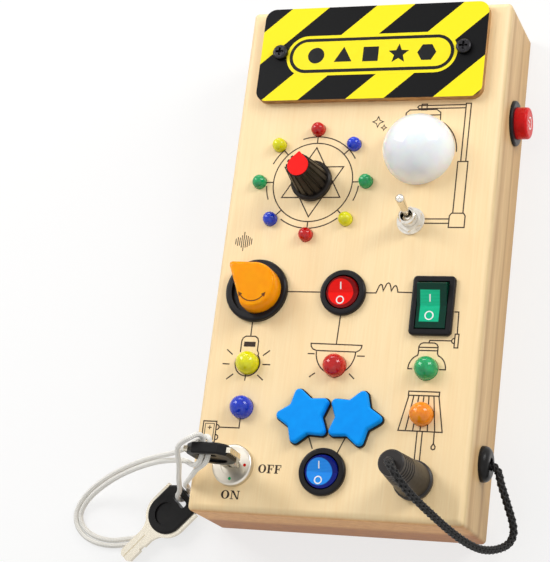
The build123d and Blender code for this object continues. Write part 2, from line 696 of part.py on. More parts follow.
with BuildPart() as lamp_leads:
    for places, flange_t in (([*RING_PLACES, *STARS], SMALL_FLANGE_T), (BIG_LAMPS.values(), BIG_FLANGE_T)):
        with BuildSketch(Plane.XY.offset(PCB_TOP)):
            with Locations(*places):
                with GridLocations(LEAD_PITCH, 0, 2, 1):
                    Circle(LEAD_D / 2)
        extrude(amount=INNER - flange_t - PCB_TOP)

# ---------------------------------------------------------------- circuit boards
CONTROL_SPACERS = [
    (CONTROL_AT[0] + x * CONTROL_W, CONTROL_AT[1] + y)
    for x, y in ((-0.23, 9.0), (0.22, 9.0), (-0.28, -10.5), (0.3, -10.5))
]
RING_SPACERS = [
    (KNOB_AT[0] + RING_R * cos(radians(a)), KNOB_AT[1] + RING_R * sin(radians(a)))
    for a in RING_SPACER_ANGLES
]
SPACERS = [*CONTROL_SPACERS, *RING_SPACERS]

with BuildPart() as ring_board:
    with BuildSketch(at(KNOB_AT, PCB_TOP)):
        Circle(RING_BOARD_OUT)
        Circle(RING_BOARD_IN, mode=Mode.SUBTRACT)
    extrude(amount=-PCB_T)
    with BuildSketch(Plane.XY.offset(PCB_TOP)):
        with Locations(*RING_SPACERS):
            Circle(BOARD_SCREW_D / 2 + HOLE_GAP)
    extrude(amount=-PCB_T, mode=Mode.SUBTRACT)

with BuildPart() as control_board:
    with BuildSketch(at(CONTROL_AT, PCB_TOP)):
        RectangleRounded(CONTROL_W, CONTROL_H, CONTROL_ROUND)
    extrude(amount=-PCB_T)
    with BuildSketch(Plane.XY.offset(PCB_TOP)):
        with Locations(*CONTROL_SPACERS):
            Circle(BOARD_SCREW_D / 2 + HOLE_GAP)
    extrude(amount=-PCB_T, mode=Mode.SUBTRACT)
    for x, y, wide, tall, high in CHIPS:
        with BuildSketch(at((CONTROL_AT[0] + x, CONTROL_AT[1] + y), PCB_TOP - PCB_T)):
            Rectangle(wide, tall)
        extrude(amount=-high)

with BuildPart() as board_spacers:
    with BuildSketch(Plane.XY.offset(PCB_TOP)):
        with Locations(*SPACERS):
            Circle(SPACER_D / 2)
            Circle(SPACER_BORE / 2, mode=Mode.SUBTRACT)
    extrude(amount=BOARD_GAP)

with BuildPart() as board_screws:
    with BuildSketch(Plane.XY.offset(PCB_TOP - PCB_T)):
        with Locations(*SPACERS):
            Circle(BOARD_SCREW_HEAD_D / 2)
    extrude(amount=-BOARD_SCREW_HEAD_H)
    with BuildSketch(Plane.XY.offset(PCB_TOP - PCB_T)):
        with Locations(*SPACERS):
            Circle(BOARD_SCREW_D / 2)
    extrude(amount=PCB_T + BOARD_GAP)

# ---------------------------------------------------------------- bulb
BULB_Z = FACE + BULB_CENTRE_H
BULB_FOOT_R = sqrt(BULB_R**2 - BULB_CENTRE_H**2)
NECK_R = BULB_NECK_D / 2
NECK_IN_R = NECK_R - BULB_WALL
SHELL_R = BULB_R - BULB_WALL
SHELL_FOOT_R = sqrt(SHELL_R**2 - (BULB_CENTRE_H - BULB_WALL) ** 2)
BARB_TOP = INNER - BULB_BARB_GAP
NECK_LOW = BARB_TOP - BULB_BARB_H

with BuildPart() as bulb_dome:
    with BuildSketch(Plane.XZ):
        with BuildLine():
            Line((NECK_IN_R, NECK_LOW), (NECK_R, NECK_LOW))
            Line((NECK_R, NECK_LOW), (NECK_R + BULB_BARB, BARB_TOP))
            Line((NECK_R + BULB_BARB, BARB_TOP), (NECK_R, BARB_TOP))
            Line((NECK_R, BARB_TOP), (NECK_R, FACE))
            Line((NECK_R, FACE), (BULB_FOOT_R, FACE))
            ThreePointArc(
                (BULB_FOOT_R, FACE),
                (BULB_R * cos(pi / 4), BULB_Z + BULB_R * sin(pi / 4)),
                (0, BULB_Z + BULB_R),
            )
            Line((0, BULB_Z + BULB_R), (0, BULB_Z + SHELL_R))
            ThreePointArc(
                (0, BULB_Z + SHELL_R),
                (SHELL_R * cos(pi / 4), BULB_Z + SHELL_R * sin(pi / 4)),
                (SHELL_FOOT_R, FACE + BULB_WALL),
            )
            Line((SHELL_FOOT_R, FACE + BULB_WALL), (NECK_IN_R, FACE + BULB_WALL))
            Line((NECK_IN_R, FACE + BULB_WALL), (NECK_IN_R, NECK_LOW))
        make_face()
    revolve(axis=Axis.Z)
bulb_dome.part = bulb_dome.part.moved(Location((BULB_AT[0], BULB_AT[1], 0)))

with BuildPart() as bulb_lamp:
    with BuildSketch(at(BULB_AT, INNER)):
        Circle(NECK_IN_R - HOLE_GAP)
    extrude(amount=BULB_BOARD_T)
    add(lamp(BULB_AT, SMALL_LAMP_D, BULB_LAMP_L, SMALL_FLANGE_D, SMALL_FLANGE_T).moved(
        Location((0, 0, BULB_BOARD_T + SMALL_FLANGE_T))))

# ---------------------------------------------------------------- rotary knob
CAN_LOW = INNER - ROTARY_CAN_H
BUSH_TOP = INNER + ROTARY_BUSH_H
KNOB_LOW = FACE + KNOB_LIFT
KNOB_TOP = FACE + KNOB_H
TAPER_LOW = KNOB_LOW + SKIRT_H
SHAFT_TOP = KNOB_TOP - SHAFT_IN_TOP
SHAFT_LOW = CAN_LOW + CAN_FLOOR + SHAFT_END_ROOM

with BuildPart() as rotary_switch:
    with BuildSketch(at(KNOB_AT, INNER)):
        Circle(ROTARY_CAN_D / 2)
    extrude(amount=-ROTARY_CAN_H)
    chamfer(faces().sort_by(Axis.Z)[0].edges(), CAN_CHAMFER)
    with BuildSketch(at(KNOB_AT, INNER)):
        Circle(ROTARY_BUSH_D / 2)
    extrude(amount=ROTARY_BUSH_H)
    with BuildSketch(at(KNOB_AT, BUSH_TOP)):
        Circle(KNOB_SHAFT_D / 2 + SHAFT_FIT)
    extrude(amount=CAN_LOW + CAN_FLOOR - BUSH_TOP, mode=Mode.SUBTRACT)

with BuildPart() as knob_shaft:
    with BuildSketch(at(KNOB_AT, SHAFT_LOW)):
        Circle(KNOB_SHAFT_D / 2)
    extrude(amount=SHAFT_TOP - SHAFT_LOW)
    with BuildSketch(at(KNOB_AT, BUSH_TOP + KNOB_NUT_ROOM)):
        with Locations((0, -KNOB_SHAFT_D / 2)):
            Rectangle(KNOB_SHAFT_D, 2 * SHAFT_FLAT)
    extrude(amount=KNOB_H, mode=Mode.SUBTRACT)


def grip_outline(radius):
    """A circle with the knob's flutes cut into its rim."""
    with BuildSketch(mode=Mode.PRIVATE) as outline:
        Circle(radius)
        with PolarLocations(radius, FLUTES, start_angle=180 / FLUTES):
            Circle(FLUTE_R, mode=Mode.SUBTRACT)
    return outline.sketch


with BuildPart() as knob_body:
    with BuildSketch(at(KNOB_AT, KNOB_LOW)):
        Circle(SKIRT_D / 2)
    extrude(amount=SKIRT_H)
    chamfer(faces().sort_by(Axis.Z)[-1].edges(), SKIRT_CHAMFER)
    with BuildSketch(at(KNOB_AT, TAPER_LOW)):
        add(grip_outline(KNOB_LOW_D / 2))
    with BuildSketch(at(KNOB_AT, KNOB_TOP)):
        add(grip_outline(KNOB_TOP_D / 2))
    loft(ruled=True)
    with BuildSketch(at(KNOB_AT, KNOB_LOW)):
        Circle(hexagon(ROTARY_NUT_AF) + KNOB_NUT_ROOM)
    extrude(amount=NUT_T - KNOB_LIFT + KNOB_NUT_ROOM, mode=Mode.SUBTRACT)
    with BuildSketch(at(KNOB_AT, KNOB_LOW)):
        Circle(ROTARY_BUSH_D / 2 + KNOB_NUT_ROOM)
    extrude(amount=BUSH_TOP + KNOB_NUT_ROOM - KNOB_LOW, mode=Mode.SUBTRACT)
    with BuildSketch(at(KNOB_AT, KNOB_LOW)):
        Circle(KNOB_SHAFT_D / 2)
        with Locations((0, -KNOB_SHAFT_D / 2)):
            Rectangle(KNOB_SHAFT_D, 2 * SHAFT_FLAT, mode=Mode.SUBTRACT)
    extrude(amount=SHAFT_TOP - KNOB_LOW, mode=Mode.SUBTRACT)
    with BuildSketch(at(KNOB_AT, KNOB_TOP)):
        Circle(KNOB_CAP_D / 2 + CAP_FIT)
    extrude(amount=-(KNOB_CAP_T - KNOB_CAP_PROUD), mode=Mode.SUBTRACT)

with BuildPart() as knob_cap:
    with BuildSketch(at(KNOB_AT, KNOB_TOP - KNOB_CAP_T + KNOB_CAP_PROUD)):
        Circle(KNOB_CAP_D / 2)
    extrude(amount=KNOB_CAP_T)
    with BuildSketch(at(KNOB_AT, KNOB_TOP)):
        Circle(KNOB_CAP_D / 2)
        with Locations((0, KNOB_POINTER)):
            Circle(KNOB_POINTER_R)
        make_hull()
    extrude(amount=KNOB_CAP_PROUD)

# ---------------------------------------------------------------- selector
SELECTOR_LOW = FACE - SELECTOR_DEPTH
CAP_LOW = FACE + SELECTOR_BEZEL_H + SELECTOR_CAP_LIFT
SELECTOR_NOSE_AT = (
    SELECTOR_NOSE * cos(radians(SELECTOR_REST)), SELECTOR_NOSE * sin(radians(SELECTOR_REST))
)

with BuildPart() as selector_bezel:
    with BuildSketch(at(SELECTOR_AT, FACE)):
        Circle(SELECTOR_BEZEL_D / 2)
    extrude(amount=SELECTOR_BEZEL_H)
    fillet(faces().sort_by(Axis.Z)[-1].edges(), SELECTOR_ROUND)
    with BuildSketch(at(SELECTOR_AT, FACE)):
        Circle(SELECTOR_BARREL_D / 2)
    extrude(amount=-SELECTOR_DEPTH)
    with BuildSketch(at(SELECTOR_AT, FACE + SELECTOR_FLOOR)):
        Circle(SELECTOR_BEZEL_IN / 2)
    extrude(amount=SELECTOR_BEZEL_H, mode=Mode.SUBTRACT)
    with BuildSketch(at(SELECTOR_AT, SELECTOR_LOW)):
        Circle(SELECTOR_STEM_D / 2 + SHAFT_FIT)
    extrude(amount=SELECTOR_DEPTH + SELECTOR_BEZEL_H, mode=Mode.SUBTRACT)

with BuildPart() as selector_switch:
    with BuildSketch(at(SELECTOR_AT, SELECTOR_LOW)):
        Rectangle(SELECTOR_BLOCK_W, SELECTOR_BLOCK_W)
        fillet(vertices(), SELECTOR_ROUND)
    extrude(amount=-SELECTOR_BLOCK_H)

with BuildPart() as selector_cap:
    with BuildSketch(at(SELECTOR_AT, CAP_LOW)):
        Circle(SELECTOR_CAP_R)
        with Locations(SELECTOR_NOSE_AT):
            Circle(SELECTOR_NOSE_R)
        make_hull()
    extrude(amount=SELECTOR_CAP_H)
    fillet(faces().sort_by(Axis.Z)[-1].edges(), SELECTOR_CAP_ROUND)
    with BuildSketch(at(SELECTOR_AT, CAP_LOW)):
        Circle(SELECTOR_BEZEL_IN / 2 - SELECTOR_STEP_GAP)
    extrude(amount=-(SELECTOR_BEZEL_H - SELECTOR_FLOOR))
    with BuildSketch(at(SELECTOR_AT, CAP_LOW)):
        Circle(SELECTOR_STEM_D / 2)
    extrude(amount=-(CAP_LOW - SELECTOR_LOW - SELECTOR_STEP_GAP))


# ---------------------------------------------------------------- rocker switches
def rocker(place, reach, width):
    """A see-saw cap at its off rest: round when width is None, else a bar along X."""
    with BuildPart(mode=Mode.PRIVATE) as paddle:
        if width is None:
            Sphere(reach)
        else:
            Cylinder(reach, width, rotation=(0, 90, 0))
        edge = ROCKER_VALLEY + 2 * reach * tan(radians(ROCKER_THROW))
        with BuildSketch(Plane.YZ):
            with BuildLine():
                Polyline(
                    (0, ROCKER_VALLEY), (2 * reach, edge), (2 * reach, 2 * reach),
                    (-2 * reach, 2 * reach), (-2 * reach, edge), close=True,
                )
            make_face()
        extrude(amount=reach, both=True, mode=Mode.SUBTRACT)
        with Locations((0, 0, -ROCKER_BOTTOM)):
            Box(
                2 * reach, 2 * reach, 2 * reach,
                align=(Align.CENTER, Align.CENTER, Align.MAX), mode=Mode.SUBTRACT,
            )
        half = reach if width is None else width / 2
        Cylinder(ROCKER_PIN_D / 2, 2 * (half + ROCKER_GAP + ROCKER_PIN_L), rotation=(0, 90, 0))
    return paddle.part.moved(Location((place[0], place[1], FACE + ROCKER_PIVOT_H), (ROCKER_THROW, 0, 0)))


def pin_holes(place, half):
    """The blind holes in which a rocker's two stub pins turn."""
    with BuildPart(mode=Mode.PRIVATE) as holes:
        with Locations((place[0], place[1], FACE + ROCKER_PIVOT_H)):
            Cylinder(
                ROCKER_PIN_D / 2 + ROCKER_PIN_FIT,
                2 * (half + ROCKER_GAP + ROCKER_PIN_L + ROCKER_PIN_FIT), rotation=(0, 90, 0),
            )
    return holes.part


with BuildPart() as round_housings:
    for place in (RED_AT, BLUE_AT):
        with BuildPart(mode=Mode.PRIVATE) as housing:
            with BuildSketch(at(place, FACE)):
                Circle(ROUND_BEZEL_D / 2)
            extrude(amount=ROCKER_BEZEL_H)
            fillet(faces().sort_by(Axis.Z)[-1].edges(), ROUND_BEZEL_ROUND)
            with BuildSketch(at(place, FACE)):
                Circle(ROUND_BARREL_D / 2)
            extrude(amount=-ROUND_DEPTH)
            with BuildSketch(at(place, FACE - ROCKER_POCKET)):
                Circle(ROUND_ROCKER_R + ROCKER_GAP)
            extrude(amount=ROCKER_POCKET + ROCKER_BEZEL_H, mode=Mode.SUBTRACT)
            add(pin_holes(place, ROUND_ROCKER_R), mode=Mode.SUBTRACT)
        add(housing.part)

with BuildPart() as square_housing:
    with BuildSketch(at(GREEN_AT, FACE)):
        RectangleRounded(SQUARE_BEZEL_W, SQUARE_BEZEL_H, SQUARE_CORNER)
    extrude(amount=ROCKER_BEZEL_H)
    fillet(faces().sort_by(Axis.Z)[-1].edges(), SQUARE_BEZEL_ROUND)
    with BuildSketch(at(GREEN_AT, FACE)):
        Rectangle(SQUARE_BODY_W, SQUARE_BODY_H)
    extrude(amount=-SQUARE_DEPTH)
    with BuildSketch(at(GREEN_AT, FACE - ROCKER_POCKET)):
        Rectangle(SQUARE_ROCKER_W + 2 * ROCKER_GAP, 2 * (SQUARE_ROCKER_R + ROCKER_GAP))
    extrude(amount=ROCKER_POCKET + ROCKER_BEZEL_H, mode=Mode.SUBTRACT)
    add(pin_holes(GREEN_AT, SQUARE_ROCKER_W / 2), mode=Mode.SUBTRACT)

with BuildPart() as red_rocker:
    add(rocker(RED_AT, ROUND_ROCKER_R, None))

with BuildPart() as blue_rocker:
    add(rocker(BLUE_AT, ROUND_ROCKER_R, None))

with BuildPart() as green_rocker:
    add(rocker(GREEN_AT, SQUARE_ROCKER_R, SQUARE_ROCKER_W))
    fillet(green_rocker.edges().filter_by(Axis.X).sort_by(Axis.Z)[-1], SQUARE_ROCKER_ROUND)

# ---------------------------------------------------------------- toggle switch
TOGGLE_PIVOT = FACE + TOGGLE_PIVOT_H
BALL_ROOM_R = TOGGLE_BUSH_D / 2 - TOGGLE_BUSH_WALL
BALL_R = BALL_ROOM_R - TOGGLE_BALL_GAP
LEVER_TIP = TOGGLE_TIP_H - TOGGLE_PIVOT_H
TAIL_R = LEVER_TAIL_D / 2
ROOT_R = LEVER_ROOT_D / 2
TIP_R = LEVER_TIP_D / 2

with BuildPart() as toggle_switch:
    with BuildSketch(at(TOGGLE_AT, INNER)):
        Rectangle(TOGGLE_BODY_W, TOGGLE_BODY_H)
    extrude(amount=-TOGGLE_BODY_T)
    chamfer(edges().filter_by(Axis.Z), TOGGLE_BODY_CHAMFER)
    with BuildSketch(at(TOGGLE_AT, INNER)):
        Circle(TOGGLE_BUSH_D / 2)
    extrude(amount=FRONT_WALL + TOGGLE_BUSH_H)
    chamfer(faces().sort_by(Axis.Z)[-1].edges(), TOGGLE_BUSH_CHAMFER)
    with BuildSketch(at(TOGGLE_AT, INNER)):
        Circle(BALL_ROOM_R)
    extrude(amount=FRONT_WALL + TOGGLE_BUSH_H, mode=Mode.SUBTRACT)

with BuildPart() as toggle_nuts:
    with BuildSketch(at(TOGGLE_AT, FACE)):
        Circle(TOGGLE_WASHER_D / 2)
        Circle(TOGGLE_BUSH_D / 2 + NUT_FIT, mode=Mode.SUBTRACT)
    extrude(amount=TOGGLE_WASHER_T)
    with BuildSketch(at(TOGGLE_AT, FACE + TOGGLE_WASHER_T + TOGGLE_NUT_LIFT)):
        RegularPolygon(TOGGLE_NUT_AF / 2, 6, major_radius=False, rotation=30)
        Circle(TOGGLE_BUSH_D / 2 + NUT_FIT, mode=Mode.SUBTRACT)
    extrude(amount=NUT_T)

with BuildPart() as toggle_lever:
    with BuildSketch(Plane.XZ):
        with BuildLine():
            Line((0, -LEVER_TAIL_L), (TAIL_R, -LEVER_TAIL_L))
            Line((TAIL_R, -LEVER_TAIL_L), (TAIL_R, -sqrt(BALL_R**2 - TAIL_R**2)))
            ThreePointArc(
                (TAIL_R, -sqrt(BALL_R**2 - TAIL_R**2)), (BALL_R, 0),
                (ROOT_R, sqrt(BALL_R**2 - ROOT_R**2)),
            )
            Line((ROOT_R, sqrt(BALL_R**2 - ROOT_R**2)), (TIP_R, LEVER_TIP - TIP_R))
            RadiusArc((TIP_R, LEVER_TIP - TIP_R), (0, LEVER_TIP), -TIP_R)
            Line((0, LEVER_TIP), (0, -LEVER_TAIL_L))
        make_face()
    revolve(axis=Axis.Z)
toggle_lever.part = toggle_lever.part.moved(
    Location((TOGGLE_AT[0], TOGGLE_AT[1], TOGGLE_PIVOT), (-TOGGLE_THROW, 0, 0))
)


# ---------------------------------------------------------------- stars
def star(place, turn, edge, low, thick):
    """A five-pointed star with round tips, its first tip at angle turn, grown by edge."""
    corners = [
        (r * cos(radians(turn + a)), r * sin(radians(turn + a)))
        for i in range(5)
        for r, a in ((STAR_TIP_R, 72 * i), (STAR_VALLEY_R, 72 * i + 36))
    ]
    with BuildPart(mode=Mode.PRIVATE) as slab:
        with BuildSketch(at(place, low)):
            with BuildLine():
                Polyline(*corners, close=True)
            make_face()
            fillet(vertices().group_by(SortBy.DISTANCE)[-1], STAR_TIP_ROUND)
            fillet(vertices().group_by(SortBy.DISTANCE)[0], STAR_VALLEY_ROUND)
            if edge > 0:
                offset(amount=edge)
        extrude(amount=thick)
        if edge == 0:
            fillet(faces().sort_by(Axis.Z)[-1].edges(), STAR_EDGE_ROUND)
    return slab.part


STAR_TURNS = [(STAR_LEFT_AT, 180), (STAR_RIGHT_AT, 0)]

with BuildPart() as star_bases:
    for place, turn in STAR_TURNS:
        add(star(place, turn, STAR_BASE_EDGE, FACE, STAR_BASE_T))
    with BuildSketch(Plane.XY.offset(FACE)):
        with Locations(*STARS):
            Circle(SMALL_LAMP_D / 2 + HOLE_GAP)
    extrude(amount=STAR_BASE_T, mode=Mode.SUBTRACT)

with BuildPart() as star_faces:
    for place, turn in STAR_TURNS:
        add(star(place, turn, 0, FACE + STAR_BASE_T, STAR_FACE_T))

# ---------------------------------------------------------------- key lock
LOCK_TOP = FACE + LOCK_FLANGE_H
LOCK_LOW = FACE - LOCK_DEPTH
CYLINDER_TOP = LOCK_TOP - CYLINDER_SUNK
KEY_SHOULDER = LOCK_TOP + KEY_LIFT
KEY_L = KEY_BLADE_L + KEY_NECK_L + KEY_HEAD_L
KEY_TIP = KEY_SHOULDER - KEY_BLADE_L

with BuildPart() as lock_barrel:
    with BuildSketch(at(LOCK_AT, FACE)):
        Circle(LOCK_FLANGE_D / 2)
    extrude(amount=LOCK_FLANGE_H)
    fillet(faces().sort_by(Axis.Z)[-1].edges(), LOCK_ROUND)
    with BuildSketch(at(LOCK_AT, FACE)):
        Circle(LOCK_BARREL_D / 2)
    extrude(amount=-LOCK_DEPTH)
    with BuildSketch(at(LOCK_AT, LOCK_TOP)):
        Circle(LOCK_CYLINDER_D / 2 + LOCK_FIT)
    extrude(amount=-(LOCK_TOP - CYLINDER_TOP + LOCK_CYLINDER_L + LOCK_FIT), mode=Mode.SUBTRACT)

with BuildPart() as lock_cylinder:
    with BuildSketch(at(LOCK_AT, CYLINDER_TOP)):
        Circle(LOCK_CYLINDER_D / 2)
    extrude(amount=-LOCK_CYLINDER_L)
    with BuildSketch(at(LOCK_AT, CYLINDER_TOP)):
        Rectangle(KEY_BLADE_W + 2 * KEY_SLOT_GAP, KEY_T + 2 * KEY_SLOT_GAP)
    extrude(amount=KEY_TIP - KEY_TIP_GAP - CYLINDER_TOP, mode=Mode.SUBTRACT)

with BuildPart() as lock_contacts:
    with BuildSketch(at(LOCK_AT, LOCK_LOW)):
        Circle(LOCK_BLOCK_D / 2)
    extrude(amount=-LOCK_BLOCK_H)


# ---------------------------------------------------------------- keys
def key_blank(plane):
    """The metal of a key: the plane's origin is the tip and its Y axis runs to the bow."""
    half = KEY_HEAD_W / 2
    neck_top = KEY_BLADE_L + KEY_NECK_L
    head_at = neck_top + half
    with BuildPart(mode=Mode.PRIVATE) as blank:
        with BuildSketch(plane):
            with Locations((0, head_at)):
                Circle(half)
            with Locations((0, head_at)):
                Rectangle(KEY_HEAD_W, KEY_L - KEY_BOW_END - head_at, align=(Align.CENTER, Align.MIN))
            with Locations((0, 0)):
                Rectangle(KEY_BLADE_W, head_at, align=(Align.CENTER, Align.MIN))
            chamfer(vertices().group_by(Axis.Y)[0], KEY_TIP_CUT)
            with BuildLine():
                inner = (KEY_BLADE_W / 2, KEY_BLADE_L)
                outer = (half * cos(radians(KEY_FLARE)), head_at - half * sin(radians(KEY_FLARE)))
                mirrored = (-outer[0], outer[1])
                RadiusArc(inner, outer, KEY_FLARE_R)
                Line(outer, mirrored)
                RadiusArc(mirrored, (-inner[0], inner[1]), KEY_FLARE_R)
                Line((-inner[0], inner[1]), inner)
            make_face()
            with Locations((0, KEY_L - KEY_SLOT_IN)):
                Rectangle(KEY_SLOT_W + 2 * KEY_RIM, KEY_SLOT_H + 2 * KEY_RIM, mode=Mode.SUBTRACT)
            with Locations((KEY_BLADE_W / 2, KEY_STEP_AT)):
                Rectangle(2 * KEY_STEP, KEY_STEP_L, mode=Mode.SUBTRACT)
        extrude(amount=KEY_T / 2, both=True)
        for side in (-1, 1):
            with BuildSketch(plane.offset(side * KEY_T / 2)):
                with Locations((0, KEY_GROOVE_L / 2)):
                    Rectangle(KEY_GROOVE_W, KEY_GROOVE_L)
            extrude(amount=-side * KEY_GROOVE, mode=Mode.SUBTRACT)
    return blank.part


def key_grip(plane, blank):
    """The moulded bow round the head of a key, with a slot for the lace."""
    half = KEY_HEAD_W / 2 - KEY_BOW_MARGIN
    head_at = KEY_BLADE_L + KEY_NECK_L + KEY_HEAD_W / 2
    with BuildPart(mode=Mode.PRIVATE) as grip:
        with BuildSketch(plane):
            with Locations((0, head_at)):
                Circle(half)
                Rectangle(2 * half, KEY_L - head_at, align=(Align.CENTER, Align.MIN))
            chamfer(vertices().group_by(Axis.Y)[-1], KEY_BOW_CUT)
        extrude(amount=KEY_BOW_T / 2, both=True)
        fillet(faces().group_by(SortBy.AREA)[-1].edges(), KEY_BOW_ROUND)
        for side in (-1, 1):
            with BuildSketch(plane.offset(side * KEY_BOW_T / 2)):
                with Locations((0, head_at)):
                    Circle(KEY_DIMPLE_D / 2)
            extrude(amount=-side * KEY_DIMPLE, mode=Mode.SUBTRACT)
        with BuildSketch(plane):
            with Locations((0, KEY_L - KEY_SLOT_IN)):
                RectangleRounded(KEY_SLOT_W, KEY_SLOT_H, KEY_SLOT_ROUND)
        extrude(amount=KEY_BOW_T, both=True, mode=Mode.SUBTRACT)
        add(blank, mode=Mode.SUBTRACT)
    return grip.part


KEY_PLANE = Plane(origin=(LOCK_AT[0], LOCK_AT[1], KEY_TIP), x_dir=(1, 0, 0), z_dir=(0, -1, 0))
# The spare key leans on the lace below it, so its bow end lies a little higher than its tip.
SPARE_RUN = (cos(radians(SPARE_TURN)), sin(radians(SPARE_TURN)))
SPARE_PLANE = Plane(
    origin=(
        SPARE_AT[0] - KEY_L * SPARE_RUN[0], SPARE_AT[1] - KEY_L * SPARE_RUN[1], SPARE_TIP_H,
    ),
    x_dir=(SPARE_RUN[1], -SPARE_RUN[0], 0),
    z_dir=(-SPARE_SLOPE * SPARE_RUN[0], -SPARE_SLOPE * SPARE_RUN[1], 1),
)

with BuildPart() as key_blade:
    add(key_blank(KEY_PLANE))

with BuildPart() as key_bow:
    add(key_grip(KEY_PLANE, key_blade.part))

with BuildPart() as spare_key_blade:
    add(key_blank(SPARE_PLANE))

with BuildPart() as spare_key_bow:
    add(key_grip(SPARE_PLANE, spare_key_blade.part))

# ---------------------------------------------------------------- side button
BUTTON_LOW = BUTTON_DEPTH - BUTTON_FLOOR
BUTTON_BACK = SIDE_PLANE.offset(-BUTTON_DEPTH)

with BuildPart() as button_bezel:
    with BuildSketch(SIDE_PLANE):
        Circle(BUTTON_FLANGE_D / 2)
    extrude(amount=BUTTON_FLANGE_H)
    fillet(faces().sort_by(Axis.X)[-1].edges(), BUTTON_FLANGE_ROUND)
    with BuildSketch(SIDE_PLANE):
        Circle(BUTTON_BARREL_D / 2)
    extrude(amount=-BUTTON_DEPTH)
    with BuildSketch(SIDE_PLANE.offset(BUTTON_FLANGE_H)):
        Circle(BUTTON_CAP_D / 2 + BUTTON_FIT)
    extrude(amount=-(BUTTON_LOW + BUTTON_FLANGE_H), mode=Mode.SUBTRACT)
    with BuildSketch(SIDE_PLANE):
        Circle(BUTTON_STEM_D / 2 + SHAFT_FIT)
    extrude(amount=-BUTTON_DEPTH, mode=Mode.SUBTRACT)

with BuildPart() as button_switch:
    with BuildSketch(BUTTON_BACK):
        Rectangle(BUTTON_BLOCK_W, BUTTON_BLOCK_W)
    extrude(amount=-BUTTON_BLOCK_L)

with BuildPart() as button_cap:
    with BuildSketch(SIDE_PLANE.offset(BUTTON_PROUD)):
        Circle(BUTTON_CAP_D / 2)
    extrude(amount=-BUTTON_CAP_L)
    fillet(faces().sort_by(Axis.X)[-1].edges(), BUTTON_CAP_ROUND)
    with BuildSketch(SIDE_PLANE.offset(BUTTON_PROUD - BUTTON_CAP_L)):
        Circle(BUTTON_STEM_D / 2)
    extrude(amount=-(BUTTON_PROUD - BUTTON_CAP_L + BUTTON_LOW + BUTTON_STEM_IN))

SPRING_R = (BUTTON_CAP_D + BUTTON_STEM_D) / 4
SPRING_L = BUTTON_LOW + BUTTON_PROUD - BUTTON_CAP_L - 2 * COIL_END
with BuildPart() as button_spring:
    add(
        coil(SPRING_R, SPRING_L, SPRING_TURNS, SPRING_WIRE).moved(
            Location((SIDE - BUTTON_LOW + COIL_END, BUTTON_Y, BUTTON_Z), (0, 90, 0))
        )
    )

# ---------------------------------------------------------------- plug, jack and grommet
PLUG_LOW = FACE + PLUG_LIFT
PLUG_TOP = PLUG_LOW + PLUG_H
JACK_LOW = FACE - PLUG_PIN_L - JACK_END_ROOM
PLUG_LOW_R = PLUG_LOW_D / 2
PLUG_TOP_R = PLUG_TOP_D / 2


def barrel_radius(height):
    """The radius of the plug's tapered sleeve at a height above its foot."""
    part = (height - PLUG_FOOT_H) / (PLUG_H - PLUG_FOOT_H)
    return PLUG_BODY_D / 2 + (PLUG_TOP_R - PLUG_BODY_D / 2) * part


with BuildPart() as plug_barrel:
    with BuildSketch(Plane.XZ.offset(-PLUG_AT[1])):
        with Locations((PLUG_AT[0], PLUG_LOW)):
            Polygon(
                (0, 0), (PLUG_LOW_R - PLUG_FOOT_CHAMFER, 0), (PLUG_LOW_R, PLUG_FOOT_CHAMFER),
                (PLUG_LOW_R, PLUG_FOOT_H - PLUG_FOOT_CHAMFER), (PLUG_BODY_D / 2, PLUG_FOOT_H),
                (PLUG_TOP_R, PLUG_H - PLUG_TOP_CHAMFER), (PLUG_TOP_R - PLUG_TOP_CHAMFER, PLUG_H),
                (0, PLUG_H), align=None,
            )
    revolve(axis=Axis((PLUG_AT[0], PLUG_AT[1], 0), (0, 0, 1)))
    for i in range(PLUG_RINGS):
        height = PLUG_H - PLUG_RING_TOP - i * PLUG_RING_PITCH
        with Locations((PLUG_AT[0], PLUG_AT[1], PLUG_LOW + height)):
            Torus(barrel_radius(height), PLUG_RING_R, mode=Mode.SUBTRACT)

with BuildPart() as plug_pin:
    with BuildSketch(at(PLUG_AT, PLUG_LOW)):
        Circle(PLUG_PIN_D / 2)
    extrude(amount=-(PLUG_PIN_L + PLUG_LIFT))
    chamfer(faces().sort_by(Axis.Z)[0].edges(), PLUG_PIN_CHAMFER)

with BuildPart() as jack_socket:
    with BuildSketch(at(PLUG_AT, FACE)):
        Circle(JACK_BUSH_D / 2)
    extrude(amount=-FRONT_WALL)
    with BuildSketch(at(PLUG_AT, INNER)):
        Rectangle(JACK_W, JACK_W)
        fillet(vertices(), JACK_ROUND)
    extrude(amount=-JACK_DEPTH)
    with BuildSketch(at(PLUG_AT, FACE)):
        Circle(PLUG_PIN_D / 2 + JACK_FIT)
    extrude(amount=JACK_LOW - FACE, mode=Mode.SUBTRACT)

with BuildPart() as cord_grommet:
    with BuildSketch(GROMMET_PLANE):
        Circle(GROMMET_D / 2)
    extrude(amount=GROMMET_PROUD)
    fillet(faces().sort_by(Axis.X)[-1].edges(), GROMMET_ROUND)
    with BuildSketch(GROMMET_PLANE.offset(GROMMET_PROUD)):
        Circle(GROMMET_MOUTH_D / 2)
    extrude(amount=-GROMMET_MOUTH_DEEP, mode=Mode.SUBTRACT)
    with BuildSketch(GROMMET_PLANE):
        Circle(GROMMET_NECK_D / 2)
    extrude(amount=-SIDE_WALL)
    with BuildSketch(GROMMET_PLANE.offset(-SIDE_WALL)):
        Circle(GROMMET_INNER_D / 2)
    extrude(amount=-GROMMET_INNER_T)


